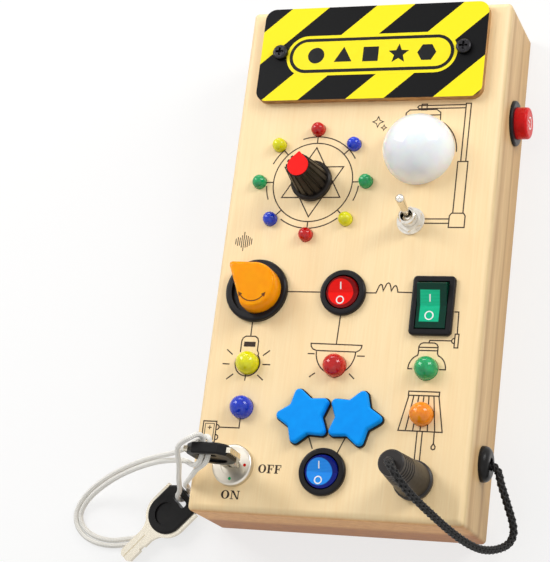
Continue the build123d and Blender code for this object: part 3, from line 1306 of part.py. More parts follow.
# ---------------------------------------------------------------- cord and lace
def bend_radii(route):
    """An even bend for each inner corner of a route, as wide as its shorter run allows."""
    radii = []
    for before, corner, after in zip(route, route[1:], route[2:]):
        run_in = Vector(*corner) - Vector(*before)
        run_out = Vector(*after) - Vector(*corner)
        half_turn = radians(run_in.get_angle(run_out)) / 2
        radii.append(BEND_SHARE * min(run_in.length, run_out.length) / tan(half_turn))
    return radii


def cord_along(steps, start, diameter):
    """A round cord whose line rounds off the corners that the steps place from a start."""
    route = [(start[0] + dx, start[1] + dy, z) for dx, dy, z in steps]
    radii = bend_radii(route)
    with BuildPart(mode=Mode.PRIVATE) as cord:
        with BuildLine():
            path = FilletPolyline(*route, radius=radii)
        with BuildSketch(Plane(origin=path @ 0, z_dir=path % 0)):
            Circle(diameter / 2)
        sweep()
    section = pi * diameter**2 / 4
    print(f"cord of {path.length:.1f} mm, volume {cord.part.volume:.1f} against {section * path.length:.1f}")
    print("bends", [round(radius, 1) for radius in radii])
    return cord.part


with BuildPart() as plug_cord:
    add(cord_along(CORD_STEPS, (SIDE, PLUG_AT[1]), CORD_D))

with BuildPart() as key_lace:
    add(cord_along(LACE_STEPS, (-SIDE, LOCK_AT[1]), LACE_D))


# ---------------------------------------------------------------- nuts and terminals
def ring_nut(plane, bore_d, outer_d):
    """A slotted round nut whose seat is the plane and whose body goes along its normal."""
    with BuildPart(mode=Mode.PRIVATE) as nut:
        with BuildSketch(plane):
            Circle(outer_d / 2)
            with PolarLocations(outer_d / 2, 4):
                Rectangle(NUT_SLOT, NUT_SLOT, mode=Mode.SUBTRACT)
            Circle(bore_d / 2 + NUT_FIT, mode=Mode.SUBTRACT)
        extrude(amount=NUT_T)
    return nut.part


def inner_plane(place):
    """The inner face of the front wall, seen from inside the case."""
    return Plane(origin=(place[0], place[1], INNER), z_dir=(0, 0, -1))


with BuildPart() as ring_nuts:
    add(ring_nut(inner_plane(SELECTOR_AT), SELECTOR_BARREL_D, SELECTOR_NUT_D))
    add(ring_nut(inner_plane(LOCK_AT), LOCK_BARREL_D, LOCK_BARREL_D + 2 * RING_NUT_WALL))
    button_seat = Plane(origin=(INNER_SIDE, BUTTON_Y, BUTTON_Z), z_dir=(-1, 0, 0))
    add(ring_nut(button_seat, BUTTON_BARREL_D, BUTTON_BARREL_D + 2 * BUTTON_NUT_WALL))

with BuildPart() as rotary_nut:
    with BuildSketch(at(KNOB_AT, FACE)):
        RegularPolygon(ROTARY_NUT_AF / 2, 6, major_radius=False)
        Circle(ROTARY_BUSH_D / 2 + NUT_FIT, mode=Mode.SUBTRACT)
    extrude(amount=NUT_T)


def pin_row(low, places, wide, thick, length):
    """Flat metal terminals that stand on a housing's back and point into the case."""
    with BuildPart(mode=Mode.PRIVATE) as row:
        with BuildSketch(Plane.XY.offset(low)):
            with Locations(*places):
                Rectangle(wide, thick)
        extrude(amount=-length)
    return row.part


def around(place, steps):
    """Places at the given steps from a place of the layout."""
    return [(place[0] + dx, place[1] + dy) for dx, dy in steps]


ROTARY_LUG_STEPS = [
    (ROTARY_LUG_R * cos(2 * pi * i / ROTARY_LUGS), ROTARY_LUG_R * sin(2 * pi * i / ROTARY_LUGS))
    for i in range(ROTARY_LUGS)
]

with BuildPart() as switch_terminals:
    for place in (RED_AT, BLUE_AT):
        add(pin_row(FACE - ROUND_DEPTH, around(place, BLADE_STEPS), BLADE_W, BLADE_T, BLADE_L))
    add(pin_row(FACE - SQUARE_DEPTH, around(GREEN_AT, BLADE_STEPS), BLADE_W, BLADE_T, BLADE_L))
    add(pin_row(SELECTOR_LOW - SELECTOR_BLOCK_H, around(SELECTOR_AT, LUG_STEPS), LUG_T, LUG_W, LUG_L))
    add(pin_row(LOCK_LOW - LOCK_BLOCK_H, around(LOCK_AT, LUG_STEPS), LUG_T, LUG_W, LUG_L))
    add(pin_row(INNER - JACK_DEPTH, around(PLUG_AT, LUG_STEPS), LUG_T, LUG_W, LUG_L))
    add(pin_row(INNER - TOGGLE_BODY_T, around(TOGGLE_AT, TOGGLE_LUG_STEPS), LUG_W, LUG_T, LUG_L))
    add(pin_row(CAN_LOW, around(KNOB_AT, ROTARY_LUG_STEPS), LUG_W, LUG_T, LUG_L))
    with BuildSketch(BUTTON_BACK.offset(-BUTTON_BLOCK_L)):
        with Locations(*LUG_STEPS):
            Rectangle(LUG_T, LUG_W)
    extrude(amount=-LUG_L)

# ---------------------------------------------------------------- files
PIECES = {
    "case": case,
    "back_cover": back_cover,
    "back_screws": back_screws,
    "battery_box": battery_box,
    "battery_cells": battery_cells,
    "battery_contacts": battery_contacts,
    "battery_door": battery_door,
    "door_screw": door_screw,
    "sign_plate": sign_plate,
    "sign_screws": sign_screws,
    "lamps_red": lamps_red,
    "lamps_blue": lamps_blue,
    "lamps_green": lamps_green,
    "lamps_yellow": lamps_yellow,
    "lamp_orange": lamp_orange,
    "lamp_leads": lamp_leads,
    "ring_board": ring_board,
    "control_board": control_board,
    "board_spacers": board_spacers,
    "board_screws": board_screws,
    "bulb_dome": bulb_dome,
    "bulb_lamp": bulb_lamp,
    "rotary_switch": rotary_switch,
    "rotary_nut": rotary_nut,
    "knob_shaft": knob_shaft,
    "knob_body": knob_body,
    "knob_cap": knob_cap,
    "selector_bezel": selector_bezel,
    "selector_switch": selector_switch,
    "selector_cap": selector_cap,
    "round_housings": round_housings,
    "red_rocker": red_rocker,
    "blue_rocker": blue_rocker,
    "square_housing": square_housing,
    "green_rocker": green_rocker,
    "toggle_switch": toggle_switch,
    "toggle_nuts": toggle_nuts,
    "toggle_lever": toggle_lever,
    "star_bases": star_bases,
    "star_faces": star_faces,
    "lock_barrel": lock_barrel,
    "lock_cylinder": lock_cylinder,
    "lock_contacts": lock_contacts,
    "key_blade": key_blade,
    "key_bow": key_bow,
    "spare_key_blade": spare_key_blade,
    "spare_key_bow": spare_key_bow,
    "button_bezel": button_bezel,
    "button_switch": button_switch,
    "button_cap": button_cap,
    "button_spring": button_spring,
    "plug_barrel": plug_barrel,
    "plug_pin": plug_pin,
    "jack_socket": jack_socket,
    "cord_grommet": cord_grommet,
    "plug_cord": plug_cord,
    "key_lace": key_lace,
    "ring_nuts": ring_nuts,
    "switch_terminals": switch_terminals,
}

for name, piece in PIECES.items():
    piece.part.label = name
    export_step(piece.part, f"parts/{name}.step")
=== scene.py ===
# %% [markdown]
# # Dressing a wooden busy board
# A busy board is a toy made of real switches, lamps, a key lock and a patch plug, all set into a
# routed wooden case. The CAD solids are the fixed frame of this scene and are never moved. This
# lesson gives each of them the finish of the real material, and adds what is too thin or too
# soft for CAD: the burnt line drawings, the printed sign, the marks on the switches, the braided
# cord and the lace that ties the two keys together.

from math import cos, pi, radians, sin, tan

import bmesh
import bpy
from mathutils import Matrix, Vector


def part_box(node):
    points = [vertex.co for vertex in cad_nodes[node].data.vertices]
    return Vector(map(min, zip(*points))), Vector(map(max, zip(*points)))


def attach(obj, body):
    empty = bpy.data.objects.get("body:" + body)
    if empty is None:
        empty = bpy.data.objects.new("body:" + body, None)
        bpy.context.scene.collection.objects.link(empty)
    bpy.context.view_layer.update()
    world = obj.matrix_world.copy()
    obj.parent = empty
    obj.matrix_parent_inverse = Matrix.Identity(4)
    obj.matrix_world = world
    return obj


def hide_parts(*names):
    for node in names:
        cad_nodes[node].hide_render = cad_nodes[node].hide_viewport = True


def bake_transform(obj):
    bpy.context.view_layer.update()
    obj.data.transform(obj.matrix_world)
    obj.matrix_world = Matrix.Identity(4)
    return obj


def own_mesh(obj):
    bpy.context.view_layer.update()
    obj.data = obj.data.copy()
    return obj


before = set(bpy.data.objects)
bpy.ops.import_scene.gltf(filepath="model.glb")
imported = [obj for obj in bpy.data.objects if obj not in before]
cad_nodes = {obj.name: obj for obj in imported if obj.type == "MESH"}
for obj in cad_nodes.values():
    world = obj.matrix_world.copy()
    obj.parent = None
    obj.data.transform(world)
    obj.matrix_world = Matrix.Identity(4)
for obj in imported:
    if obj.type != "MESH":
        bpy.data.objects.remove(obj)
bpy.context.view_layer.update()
MM = 0.001

# %% [markdown]
# ## The camera
# The board lies on its back on a table and the camera looks down on it from beyond its lower
# right corner, with a long lens. A long lens keeps the case's sides almost parallel, so a small
# product keeps its proportions. The place and the three angles are written as plain numbers,
# because a fixed view doesn't need a target to follow.

# %% Place the camera
camera = bpy.data.objects.new("camera", bpy.data.cameras.new("camera"))
bpy.context.scene.collection.objects.link(camera)
camera.location = (0.2026, -0.1975, 0.6069)
camera.rotation_euler = (radians(19.378), radians(19.494), radians(7.441))
camera.data.sensor_width = 36
camera.data.lens = 117.65
bpy.context.scene.camera = camera
bpy.context.scene.view_settings.view_transform = "Standard"
print("Lens:", round(camera.data.lens, 1), "mm")

# %% [markdown]
# ## Colours and nodes
# Each finish is a small network of shader nodes, and so are the table's and the world's. One
# helper that adds a node, sets it up and joins it to others keeps them readable. Colours are
# written as sRGB hex, and one function turns them into the linear numbers that shaders want.

# %% Helpers for colours and nodes
# The places of a Mix node's sockets for its amount and for its two colours. Those between them
# are for numbers and vectors.
AMOUNT, FIRST, SECOND = 0, 6, 7


def linear(hex_text):
    """An sRGB colour such as "#FDDFAC" as linear red, green and blue, and an alpha of one."""
    parts = [int(hex_text[i : i + 2], 16) / 255 for i in (1, 3, 5)]
    return [*(c / 12.92 if c <= 0.04045 else ((c + 0.055) / 1.055) ** 2.4 for c in parts), 1.0]


def join(owner, source, socket):
    """Link an output to a socket. A node stands for the first of its outputs that is in use."""
    if isinstance(source, bpy.types.Node):
        source = next(output for output in source.outputs if output.enabled)
    owner.node_tree.links.new(source, socket)


def add_node(owner, kind, inputs=None, **settings):
    """Add a node. An input is a number, a hex colour, another node or one of its outputs."""
    node = owner.node_tree.nodes.new("ShaderNode" + kind)
    for name, value in settings.items():
        setattr(node, name, value)
    for name, value in (inputs or {}).items():
        if isinstance(value, (bpy.types.Node, bpy.types.NodeSocket)):
            join(owner, value, node.inputs[name])
        else:
            node.inputs[name].default_value = linear(value) if isinstance(value, str) else value
    return node


print("Sand, as linear numbers:", [round(value, 3) for value in linear("#FDDFAC")])

# %% [markdown]
# ## Table and studio light
# Glossy lamps and a milky bulb mirror whatever lights them, so the lights are four rectangular
# softboxes: two tall ones that read as upright windows, a strip at the far end, and a broad weak
# one in front. A white world fills the shadows. Together they come to about one on a face that
# looks up, so a colour renders about as it is written. The table is white and only has to catch
# the shadow. Rays that come straight from the camera, or from a mirror or a clear surface, see a
# brighter world, and a table that is mostly plain white, which keeps it from looking grey.

# %% Put up the softboxes
for name, place, wide, tall, watts in (
    ("softbox_left", (-0.62, 0.36, 0.62), 0.30, 0.52, 3.8),
    ("softbox_right", (0.70, 0.48, 0.50), 0.30, 0.52, 4.3),
    ("softbox_top", (-0.16, 0.95, 0.42), 0.50, 0.18, 2.0),
    ("softbox_fill", (0.35, -0.75, 0.90), 0.80, 0.80, 0.8),
):
    light = bpy.data.lights.new(name, "AREA")
    light.shape = "RECTANGLE"
    light.size, light.size_y, light.energy = wide, tall, watts
    lamp = bpy.data.objects.new(name, light)
    bpy.context.scene.collection.objects.link(lamp)
    lamp.location = place
    lamp.rotation_euler = (-Vector(place)).to_track_quat("-Z", "Y").to_euler()
    print(name, "at", watts, "W")

# %% Light the world
FILL_STRENGTH = 0.46


def straight_rays(owner):
    """A node that gives 1 to rays from the camera, a mirror or a clear surface, and 0 to others."""
    rays = add_node(owner, "LightPath").outputs
    seen = add_node(
        owner, "Math", {0: rays["Is Camera Ray"], 1: rays["Is Glossy Ray"]}, operation="MAXIMUM"
    )
    return add_node(owner, "Math", {0: seen, 1: rays["Is Transmission Ray"]}, operation="MAXIMUM")


world = bpy.data.worlds.new("studio")
bpy.context.scene.world = world
world.use_nodes = True
background = world.node_tree.nodes["Background"]
background.inputs["Color"].default_value = linear("#FFFFFF")
strength = add_node(
    world, "MapRange", {"Value": straight_rays(world), "To Min": FILL_STRENGTH, "To Max": 1.0}
)
join(world, strength, background.inputs["Strength"])
print("World strength:", FILL_STRENGTH)

# %% Lay the table
HALF_TABLE, TABLE_HEIGHT = 3, -0.0001
PLAIN_WHITE_SHARE = 0.7

table_mesh = bpy.data.meshes.new("table")
ways = ((-1, -1), (1, -1), (1, 1), (-1, 1))
table_mesh.from_pydata(
    [(HALF_TABLE * x, HALF_TABLE * y, TABLE_HEIGHT) for x, y in ways], [], [(0, 1, 2, 3)]
)
table = bpy.data.objects.new("table", table_mesh)
bpy.context.scene.collection.objects.link(table)

paper = bpy.data.materials.new("matt_white_table")
paper.use_nodes = True
paper.node_tree.nodes.clear()
share = add_node(
    paper, "Math", {0: straight_rays(paper), 1: PLAIN_WHITE_SHARE}, operation="MULTIPLY"
)
add_node(paper, "OutputMaterial", {"Surface": add_node(paper, "MixShader", {
    0: share, 1: add_node(paper, "BsdfDiffuse", {"Color": "#F7F6F4"}),
    2: add_node(paper, "Emission", {"Color": "#FFFFFF"}),
})})
table_mesh.materials.append(paper)
print("Table:", 2 * HALF_TABLE, "m wide")

# %% [markdown]
# ## Cords first
# A cord is a fixed length of something flexible, so it starts as a line and not as a shape. A
# NURBS curve of order three runs smoothly past its control points without touching them, as a
# real cord cuts its corners. Blender turns the bare curve into a mesh of edges, and every strand
# of the cord then follows the points of that mesh.

# %% Read a smooth line from control points
def smooth_line(name, route):
    """The points, in metres, of the NURBS line whose control points are a route in mm."""
    curve = bpy.data.curves.new(name, "CURVE")
    curve.dimensions = "3D"
    spline = curve.splines.new("NURBS")
    spline.points.add(len(route) - 1)
    for point, place in zip(spline.points, route):
        point.co = (*(value * MM for value in place), 1)
    spline.order_u = 3
    spline.use_endpoint_u = True
    spline.resolution_u = 12
    holder = bpy.data.objects.new(name, curve)
    edges = bpy.data.meshes.new_from_object(holder)
    line = [vertex.co.copy() for vertex in edges.vertices]
    bpy.data.objects.remove(holder)
    bpy.data.curves.remove(curve)
    bpy.data.meshes.remove(edges)
    return line


def line_length(line):
    return sum((b - a).length for a, b in zip(line, line[1:]))


cord_line = smooth_line("plug_cord_line", [
    (31.1, -80.0, 59.9), (31.1, -80.0, 64.2), (34.0, -83.3, 68.4), (36.7, -87.1, 66.5),
    (39.0, -90.0, 61.5), (41.7, -92.6, 54.5), (44.7, -95.2, 47.0), (47.4, -97.4, 39.5),
    (50.4, -99.2, 31.0), (53.6, -99.8, 22.5), (56.7, -98.0, 14.5), (59.4, -95.1, 9.6),
    (60.4, -91.0, 7.9), (59.5, -86.8, 8.6), (58.1, -82.7, 10.2), (56.9, -78.8, 12.2),
    (55.6, -75.0, 14.0), (54.9, -71.2, 14.9), (52.2, -69.3, 14.4),
])
lace_line = smooth_line("key_lace_line", [
    (-77.8, -101.3, 1.0), (-83.9, -102.7, 1.0), (-90.2, -103.6, 1.0), (-97.0, -102.8, 1.0),
    (-103.0, -99.7, 1.0), (-106.3, -94.3, 1.0), (-105.1, -88.8, 1.6), (-100.6, -84.2, 3.8),
    (-93.1, -80.5, 8.6), (-83.9, -78.1, 15.5), (-73.3, -76.7, 24.0), (-62.2, -76.2, 33.0),
    (-53.9, -76.4, 39.5), (-46.4, -76.0, 46.0), (-40.4, -74.0, 51.0), (-35.4, -72.6, 53.8),
    (-33.0, -74.6, 56.2), (-33.0, -81.6, 56.2), (-36.2, -82.6, 52.4), (-40.6, -82.9, 46.9),
    (-44.2, -83.8, 41.4), (-47.2, -84.3, 36.8), (-49.9, -84.4, 32.2), (-53.0, -84.1, 26.0),
    (-56.0, -83.2, 18.6), (-59.0, -81.8, 11.2), (-61.4, -80.6, 4.8), (-62.2, -81.8, 1.0),
    (-64.1, -85.4, 1.0), (-64.1, -85.3, 7.2), (-60.4, -83.9, 12.8), (-57.4, -82.6, 22.0),
    (-53.2, -81.4, 32.5), (-49.1, -80.2, 42.5), (-46.4, -79.0, 51.0), (-43.8, -77.4, 57.7),
    (-39.0, -76.4, 62.6), (-35.6, -73.4, 60.6), (-35.1, -74.6, 56.3), (-35.1, -81.4, 56.4),
    (-39.6, -82.9, 51.2), (-47.2, -78.8, 41.6), (-55.1, -78.0, 36.4), (-62.2, -78.2, 33.0),
    (-73.1, -78.7, 24.0), (-83.5, -80.1, 15.5), (-92.3, -82.5, 8.6), (-99.4, -86.0, 3.8),
    (-103.3, -89.8, 1.6), (-104.3, -93.9, 1.0), (-101.6, -98.1, 1.0), (-96.4, -100.8, 1.0),
    (-90.2, -101.6, 1.0), (-84.3, -100.7, 1.0), (-78.2, -99.3, 1.0),
])
print("Cord", round(line_length(cord_line), 4), "m, lace", round(line_length(lace_line), 4), "m")

# %% [markdown]
# A tube or a strand needs two directions across the line at each point. If they are taken from
# the world's axes they flip where the line turns over, and the braid would twist there. Carrying
# each pair on from the one before, turned only as far as the line itself turns, keeps them still.

# %% Sweep rings along a line
def across(line):
    """At each point of a line, two directions across it that twist as little as they can."""
    pairs = []
    side = Vector((0.31, 0.87, 0.19))
    for before, after in zip([line[0], *line[:-1]], [*line[1:], line[-1]]):
        ahead = (after - before).normalized()
        side = (side - ahead * side.dot(ahead)).normalized()
        pairs.append((side, ahead.cross(side)))
    return pairs


def skin(rings, sides, closed=False):
    """Faces that join a row of rings of points. An open row gets a face at each end."""
    count = rings * sides
    faces = [
        (i + k, i + (k + 1) % sides, (i + sides) % count + (k + 1) % sides, (i + sides) % count + k)
        for i in range(0, count if closed else count - sides, sides)
        for k in range(sides)
    ]
    if not closed:
        faces += [tuple(range(sides)), tuple(range(count - sides, count))]
    return faces


def swept(centres, pairs, radius, sides):
    """A round tube's points, faces and map: turns round it, and metres along it."""
    points = [
        centre + radius * (u * cos(2 * pi * k / sides) + v * sin(2 * pi * k / sides))
        for centre, (u, v) in zip(centres, pairs)
        for k in range(sides)
    ]
    reach = [0.0]
    for before, after in zip(centres, centres[1:]):
        reach.append(reach[-1] + (after - before).length)
    chart = [
        [(k / sides, low), ((k + 1) / sides, low), ((k + 1) / sides, top), (k / sides, top)]
        for low, top in zip(reach, reach[1:])
        for k in range(sides)
    ]
    return points, skin(len(centres), sides), chart + [[(0, 0)] * sides] * 2


def new_piece(name, parts, smooth=True):
    """One mesh object from a list of parts, with its faces turned outwards."""
    points, faces, chart = [], [], []
    for part_points, part_faces, part_chart in parts:
        faces += [tuple(len(points) + i for i in face) for face in part_faces]
        points += [tuple(point) for point in part_points]
        chart += [place for face in part_chart for place in face]
    mesh = bpy.data.meshes.new(name)
    mesh.from_pydata(points, [], faces)
    if chart:
        layer = mesh.uv_layers.new(name="round_and_along")
        for corner, place in zip(layer.data, chart):
            corner.uv = place
    work = bmesh.new()
    work.from_mesh(mesh)
    bmesh.ops.recalc_face_normals(work, faces=work.faces)
    work.to_mesh(mesh)
    work.free()
    if smooth:
        mesh.shade_smooth()
    piece = bpy.data.objects.new(name, mesh)
    bpy.context.scene.collection.objects.link(piece)
    return piece


print("Faces of a short tube with 8 sides:", len(skin(2, 8)))

# %% [markdown]
# ## The braided cord
# The patch plug hangs on a round braid of black polyester. Eight thick strands are enough for the
# coarse braid that this cord has: four wind one way and four the other, and each goes over one
# and under the next. A strand's height over the core is a cosine that turns four times as fast as
# the strand goes round, which puts it outside at one crossing and inside at the next.

# %% Braid the plug's cord
CORD_R = 1.5 * MM
STRAND_R = 0.43 * MM
STRAND_RIDE = 0.17 * MM
STRAND_MIDDLE = CORD_R - STRAND_R - STRAND_RIDE
BRAID_PITCH = 8.4 * MM

cord_pairs = across(cord_line)
cord_reach = [line_length(cord_line[: i + 1]) for i in range(len(cord_line))]


def strand(way, start_angle):
    """One strand of the braid: way is 1 or -1 for the two directions of winding."""
    centres = []
    for centre, (u, v), far in zip(cord_line, cord_pairs, cord_reach):
        turn = 2 * pi * far / BRAID_PITCH
        angle = start_angle + way * turn
        radius = STRAND_MIDDLE + way * STRAND_RIDE * cos(4 * turn)
        centres.append(centre + radius * (u * cos(angle) + v * sin(angle)))
    return swept(centres, cord_pairs, STRAND_R, 7)


braid = [strand(way, k * pi / 2) for way in (1, -1) for k in range(4)]
core = swept(cord_line, cord_pairs, STRAND_MIDDLE - 0.1 * MM, 8)
plug_cord = new_piece("braided_plug_cord", [core, *braid])
print("Braid faces:", len(plug_cord.data.polygons))

# %% [markdown]
# ## The lace
# The lace is a long run of soft white braid. It goes through the slots of both keys, and its ends
# lie under the spare key. When the lock turns or its key is pulled out, only the part at that key
# moves, so the tube is cut where it rises past 46 mm: into three far parts, between the board and
# the lock's cylinder, and two near parts, between the cylinder and the key.

# %% Lay the lace
LACE_R = 0.9 * MM
CUT_HEIGHT = 46 * MM

lace_pairs = across(lace_line)
cuts = [
    i for i in range(len(lace_line) - 1)
    if (lace_line[i].z - CUT_HEIGHT) * (lace_line[i + 1].z - CUT_HEIGHT) < 0
]
stops = [0, *cuts, len(lace_line) - 1]
lace_names = ["lace_end_upper", "lace_at_key", "lace_to_spare", "lace_round_key", "lace_end_lower"]
lace_pieces = {}
for name, first, last in zip(lace_names, stops, stops[1:]):
    run = slice(first, last + 1)
    lace_pieces[name] = new_piece(name, [swept(lace_line[run], lace_pairs[run], LACE_R, 14)])
    lace_pieces[name]["first"] = first
    lace_pieces[name]["last"] = last
print("The lace is cut after points", cuts)

# %% [markdown]
# ## Finishes
# Numbers that are the same all over a surface go straight on the shader. Patterns are measured in
# the object's own metres, so a pattern of so many millimetres gets a scale of one thousand divided
# by them. A pattern can carry the colour, the roughness and the relief of a surface at once.

# %% Helpers for finishes
def new_finish(name, colour, roughness, **more):
    """A material, its shader, and the shader's plain values."""
    finish = bpy.data.materials.new(name)
    finish.use_nodes = True
    shader = finish.node_tree.nodes["Principled BSDF"]
    values = {"Base_Color": linear(colour), "Roughness": roughness, **more}
    for socket, value in values.items():
        shader.inputs[socket.replace("_", " ")].default_value = value
    return finish, shader


def dress(finish, names):
    """Give CAD nodes a finish. The names have spaces between them."""
    for name in names.split():
        for slot in cad_nodes[name].material_slots:
            slot.material = finish


def grains(finish, size, detail=2.0, stretch=(1, 1, 1)):
    """Noise with features of about size mm, stretched along the axes. It runs from 0 to 1."""
    place = add_node(finish, "TexCoord").outputs["Object"]
    scale = [1 / (size * MM * factor) for factor in stretch]
    mapped = add_node(finish, "Mapping", {"Vector": place, "Scale": scale})
    noise = add_node(finish, "TexNoise", {"Vector": mapped, "Scale": 1.0, "Detail": detail})
    return add_node(finish, "MapRange", {"Value": noise, "From Min": 0.3, "From Max": 0.7})


def surface(finish, shader, pattern, colours=None, roughness=None, depth=None):
    """Let a pattern of 0 to 1 run between two colours or roughnesses, or stand depth mm proud."""
    if colours:
        mixed = {AMOUNT: pattern, FIRST: colours[0], SECOND: colours[1]}
        tone = add_node(finish, "Mix", mixed, data_type="RGBA")
        join(finish, tone, shader.inputs["Base Color"])
    if roughness:
        spread = {"Value": pattern, "To Min": roughness[0], "To Max": roughness[1]}
        join(finish, add_node(finish, "MapRange", spread), shader.inputs["Roughness"])
    if depth:
        relief = {"Height": pattern, "Strength": 1.0, "Distance": depth * MM}
        join(finish, add_node(finish, "Bump", relief), shader.inputs["Normal"])


print("Helpers ready")

# %% [markdown]
# ## The case: sanded pine under a matt varnish
# The case is a block of glued pine, routed hollow from behind, with its corners rounded by a
# router. Sanding leaves the front almost even: a pale ground with faint long grain. The grain
# runs along the case, so the noise is stretched thirty times along Y. The long sides cut through
# the growth rings, and show them as brown lines along the case. The short sides are end grain,
# which soaks up more varnish and turns honey brown; on the near one that colour is drawn, and its
# orange brown also holds painted shade, which deepens towards its foot. A matt varnish gives a
# soft sheen, at a roughness of about a half, and the usual IOR of 1.5.

# %% Grain on the front
FACE_GRAIN, FACE_STRETCH = 0.7, 30

pine, pine_shader = new_finish("sanded_pine_matt_varnish", "#FFE3B2", 0.5, IOR=1.5)
place = add_node(pine, "SeparateXYZ", {"Vector": add_node(pine, "TexCoord").outputs["Object"]})
facing = add_node(pine, "SeparateXYZ", {
    "Vector": add_node(pine, "NewGeometry").outputs["Normal"]
})
fine = grains(pine, FACE_GRAIN, detail=3, stretch=(1, FACE_STRETCH, 3))
broad = grains(pine, 9.0, detail=2, stretch=(1, 13, 1))
mottle = add_node(pine, "Math", {0: fine, 1: 0.45}, operation="MULTIPLY")
tone = add_node(pine, "Math", {0: broad, 1: 0.55, 2: mottle}, operation="MULTIPLY_ADD")
front_colour = add_node(
    pine, "Mix", {AMOUNT: tone, FIRST: "#FFE5B5", SECOND: "#F9D8A2"}, data_type="RGBA"
)
print("Face grain:", FACE_GRAIN, "x", round(FACE_GRAIN * FACE_STRETCH), "mm")

# %% Growth rings on the sides
CASE_DEEP = 32 * MM
RING_WANDER = 1.5 * MM

# The rings wander up and down along the case.
wander = grains(pine, 22.0, detail=2, stretch=(1, 3, 1))
ring_height = add_node(
    pine, "Math", {0: wander, 1: RING_WANDER, 2: place.outputs["Z"]}, operation="MULTIPLY_ADD"
)
rings = add_node(pine, "ValToRGB", {
    "Fac": add_node(pine, "Math", {0: ring_height, 1: CASE_DEEP}, operation="DIVIDE")
})
ring_stops = [
    (0.02, "#C7A169"), (0.30, "#D2AE76"), (0.36, "#B58C58"), (0.44, "#D4B27C"), (0.66, "#DAB883"),
    (0.80, "#BB9462"), (0.86, "#DCBE8B"), (0.97, "#E5CA96"),
]
for at, colour in ring_stops[1:-1]:
    rings.color_ramp.elements.new(at)
for stop, (at, colour) in zip(rings.color_ramp.elements, ring_stops):
    stop.position = at
    stop.color = linear(colour)
print("Stops from below to the front:", len(ring_stops))

# %% End grain with painted shade, and all the wood together
# The near short side darkens as painted shade from the first of these heights down to the second.
FOOT_SHADE_FROM, FOOT_SHADE_TO = 19 * MM, 14 * MM

# Each layer of colour covers the one before it where its amount is one: a brown mottle over the
# rings, then end grain on the near short side, its orange brown partly painted shade, with more
# painted shade towards its foot, then the front.
# End grain with painted shade in its orange, and a darker painted shade for the foot.
end_grain_and_shade, foot_painted_shade = (
    add_node(pine, "Mix", {
        AMOUNT: grains(pine, 1.1, detail=3, stretch=(wide, 1, 1)), FIRST: low, SECOND: top,
    }, data_type="RGBA")
    for wide, low, top in ((2, "#E6AC62", "#D2924C"), (3, "#B9752F", "#A86524"))
)
foot_shade_amount = add_node(
    pine, "MapRange",
    {"Value": ring_height, "From Min": FOOT_SHADE_FROM, "From Max": FOOT_SHADE_TO},
)
end_grain_and_shade_colour = add_node(
    pine, "Mix", {AMOUNT: foot_shade_amount, FIRST: end_grain_and_shade, SECOND: foot_painted_shade}, data_type="RGBA"
)
# Only the near short side gets the end grain and its painted shade.
end_grain_and_shade_amount = add_node(
    pine, "MapRange", {"Value": facing.outputs["Y"], "From Min": -0.4, "From Max": -0.9}
)
front_amount = add_node(
    pine, "MapRange", {"Value": facing.outputs["Z"], "From Min": 0.25, "From Max": 0.8}
)
pine_colour = rings
for amount, colour in (
    (mottle, "#B08757"), (end_grain_and_shade_amount, end_grain_and_shade_colour), (front_amount, front_colour)
):
    pine_colour = add_node(
        pine, "Mix", {AMOUNT: amount, FIRST: pine_colour, SECOND: colour}, data_type="RGBA"
    )
join(pine, pine_colour, pine_shader.inputs["Base Color"])
surface(pine, pine_shader, fine, depth=0.04)
dress(pine, "case")
print("Nodes in the pine:", len(pine.node_tree.nodes))

# %% [markdown]
# ## Hardboard back
# The back cover is hardboard: wood fibre pressed hot under a screen. The pressing leaves a brown
# felt of fibres, less than a millimetre across, with a dull sheen.

# %% Hardboard
hardboard, hardboard_shader = new_finish("pressed_hardboard", "#A87B4F", 0.62)
felt = grains(hardboard, 0.8, detail=4, stretch=(2.5, 1, 1))
surface(hardboard, hardboard_shader, felt, ("#B58858", "#8F653D"), depth=0.05)
dress(hardboard, "back_cover")
print("Hardboard on the back cover")

# %% [markdown]
# ## Moulded plastics
# Most of the fittings are ABS, moulded against spark-eroded steel. The mould's fine pits give the
# plastic a satin grain, and the way it flowed makes it a little lighter and darker. The real pits
# are about 0.1 mm across, too fine to be seen here, so they are drawn five to nine times as coarse
# and very shallow. The IOR of ABS is about 1.54.

# %% A recipe for moulded plastic
ABS_SPECULAR = 0.15
FLOW_MARK, GLOSS_MARK = 3.5, 1.2


def moulded_plastic(
    name, colour, deep, roughness, pit=0.5, depth=0.005, specular=ABS_SPECULAR
):
    """A plastic of two close colours with a satin grain of pits."""
    finish, shader = new_finish(name, colour, roughness, IOR=1.54, Specular_IOR_Level=specular)
    gloss = (max(0.03, roughness - 0.03), roughness + 0.04)
    surface(finish, shader, grains(finish, FLOW_MARK), (colour, deep))
    surface(finish, shader, grains(finish, GLOSS_MARK), roughness=gloss)
    surface(finish, shader, grains(finish, pit), depth=depth)
    return finish


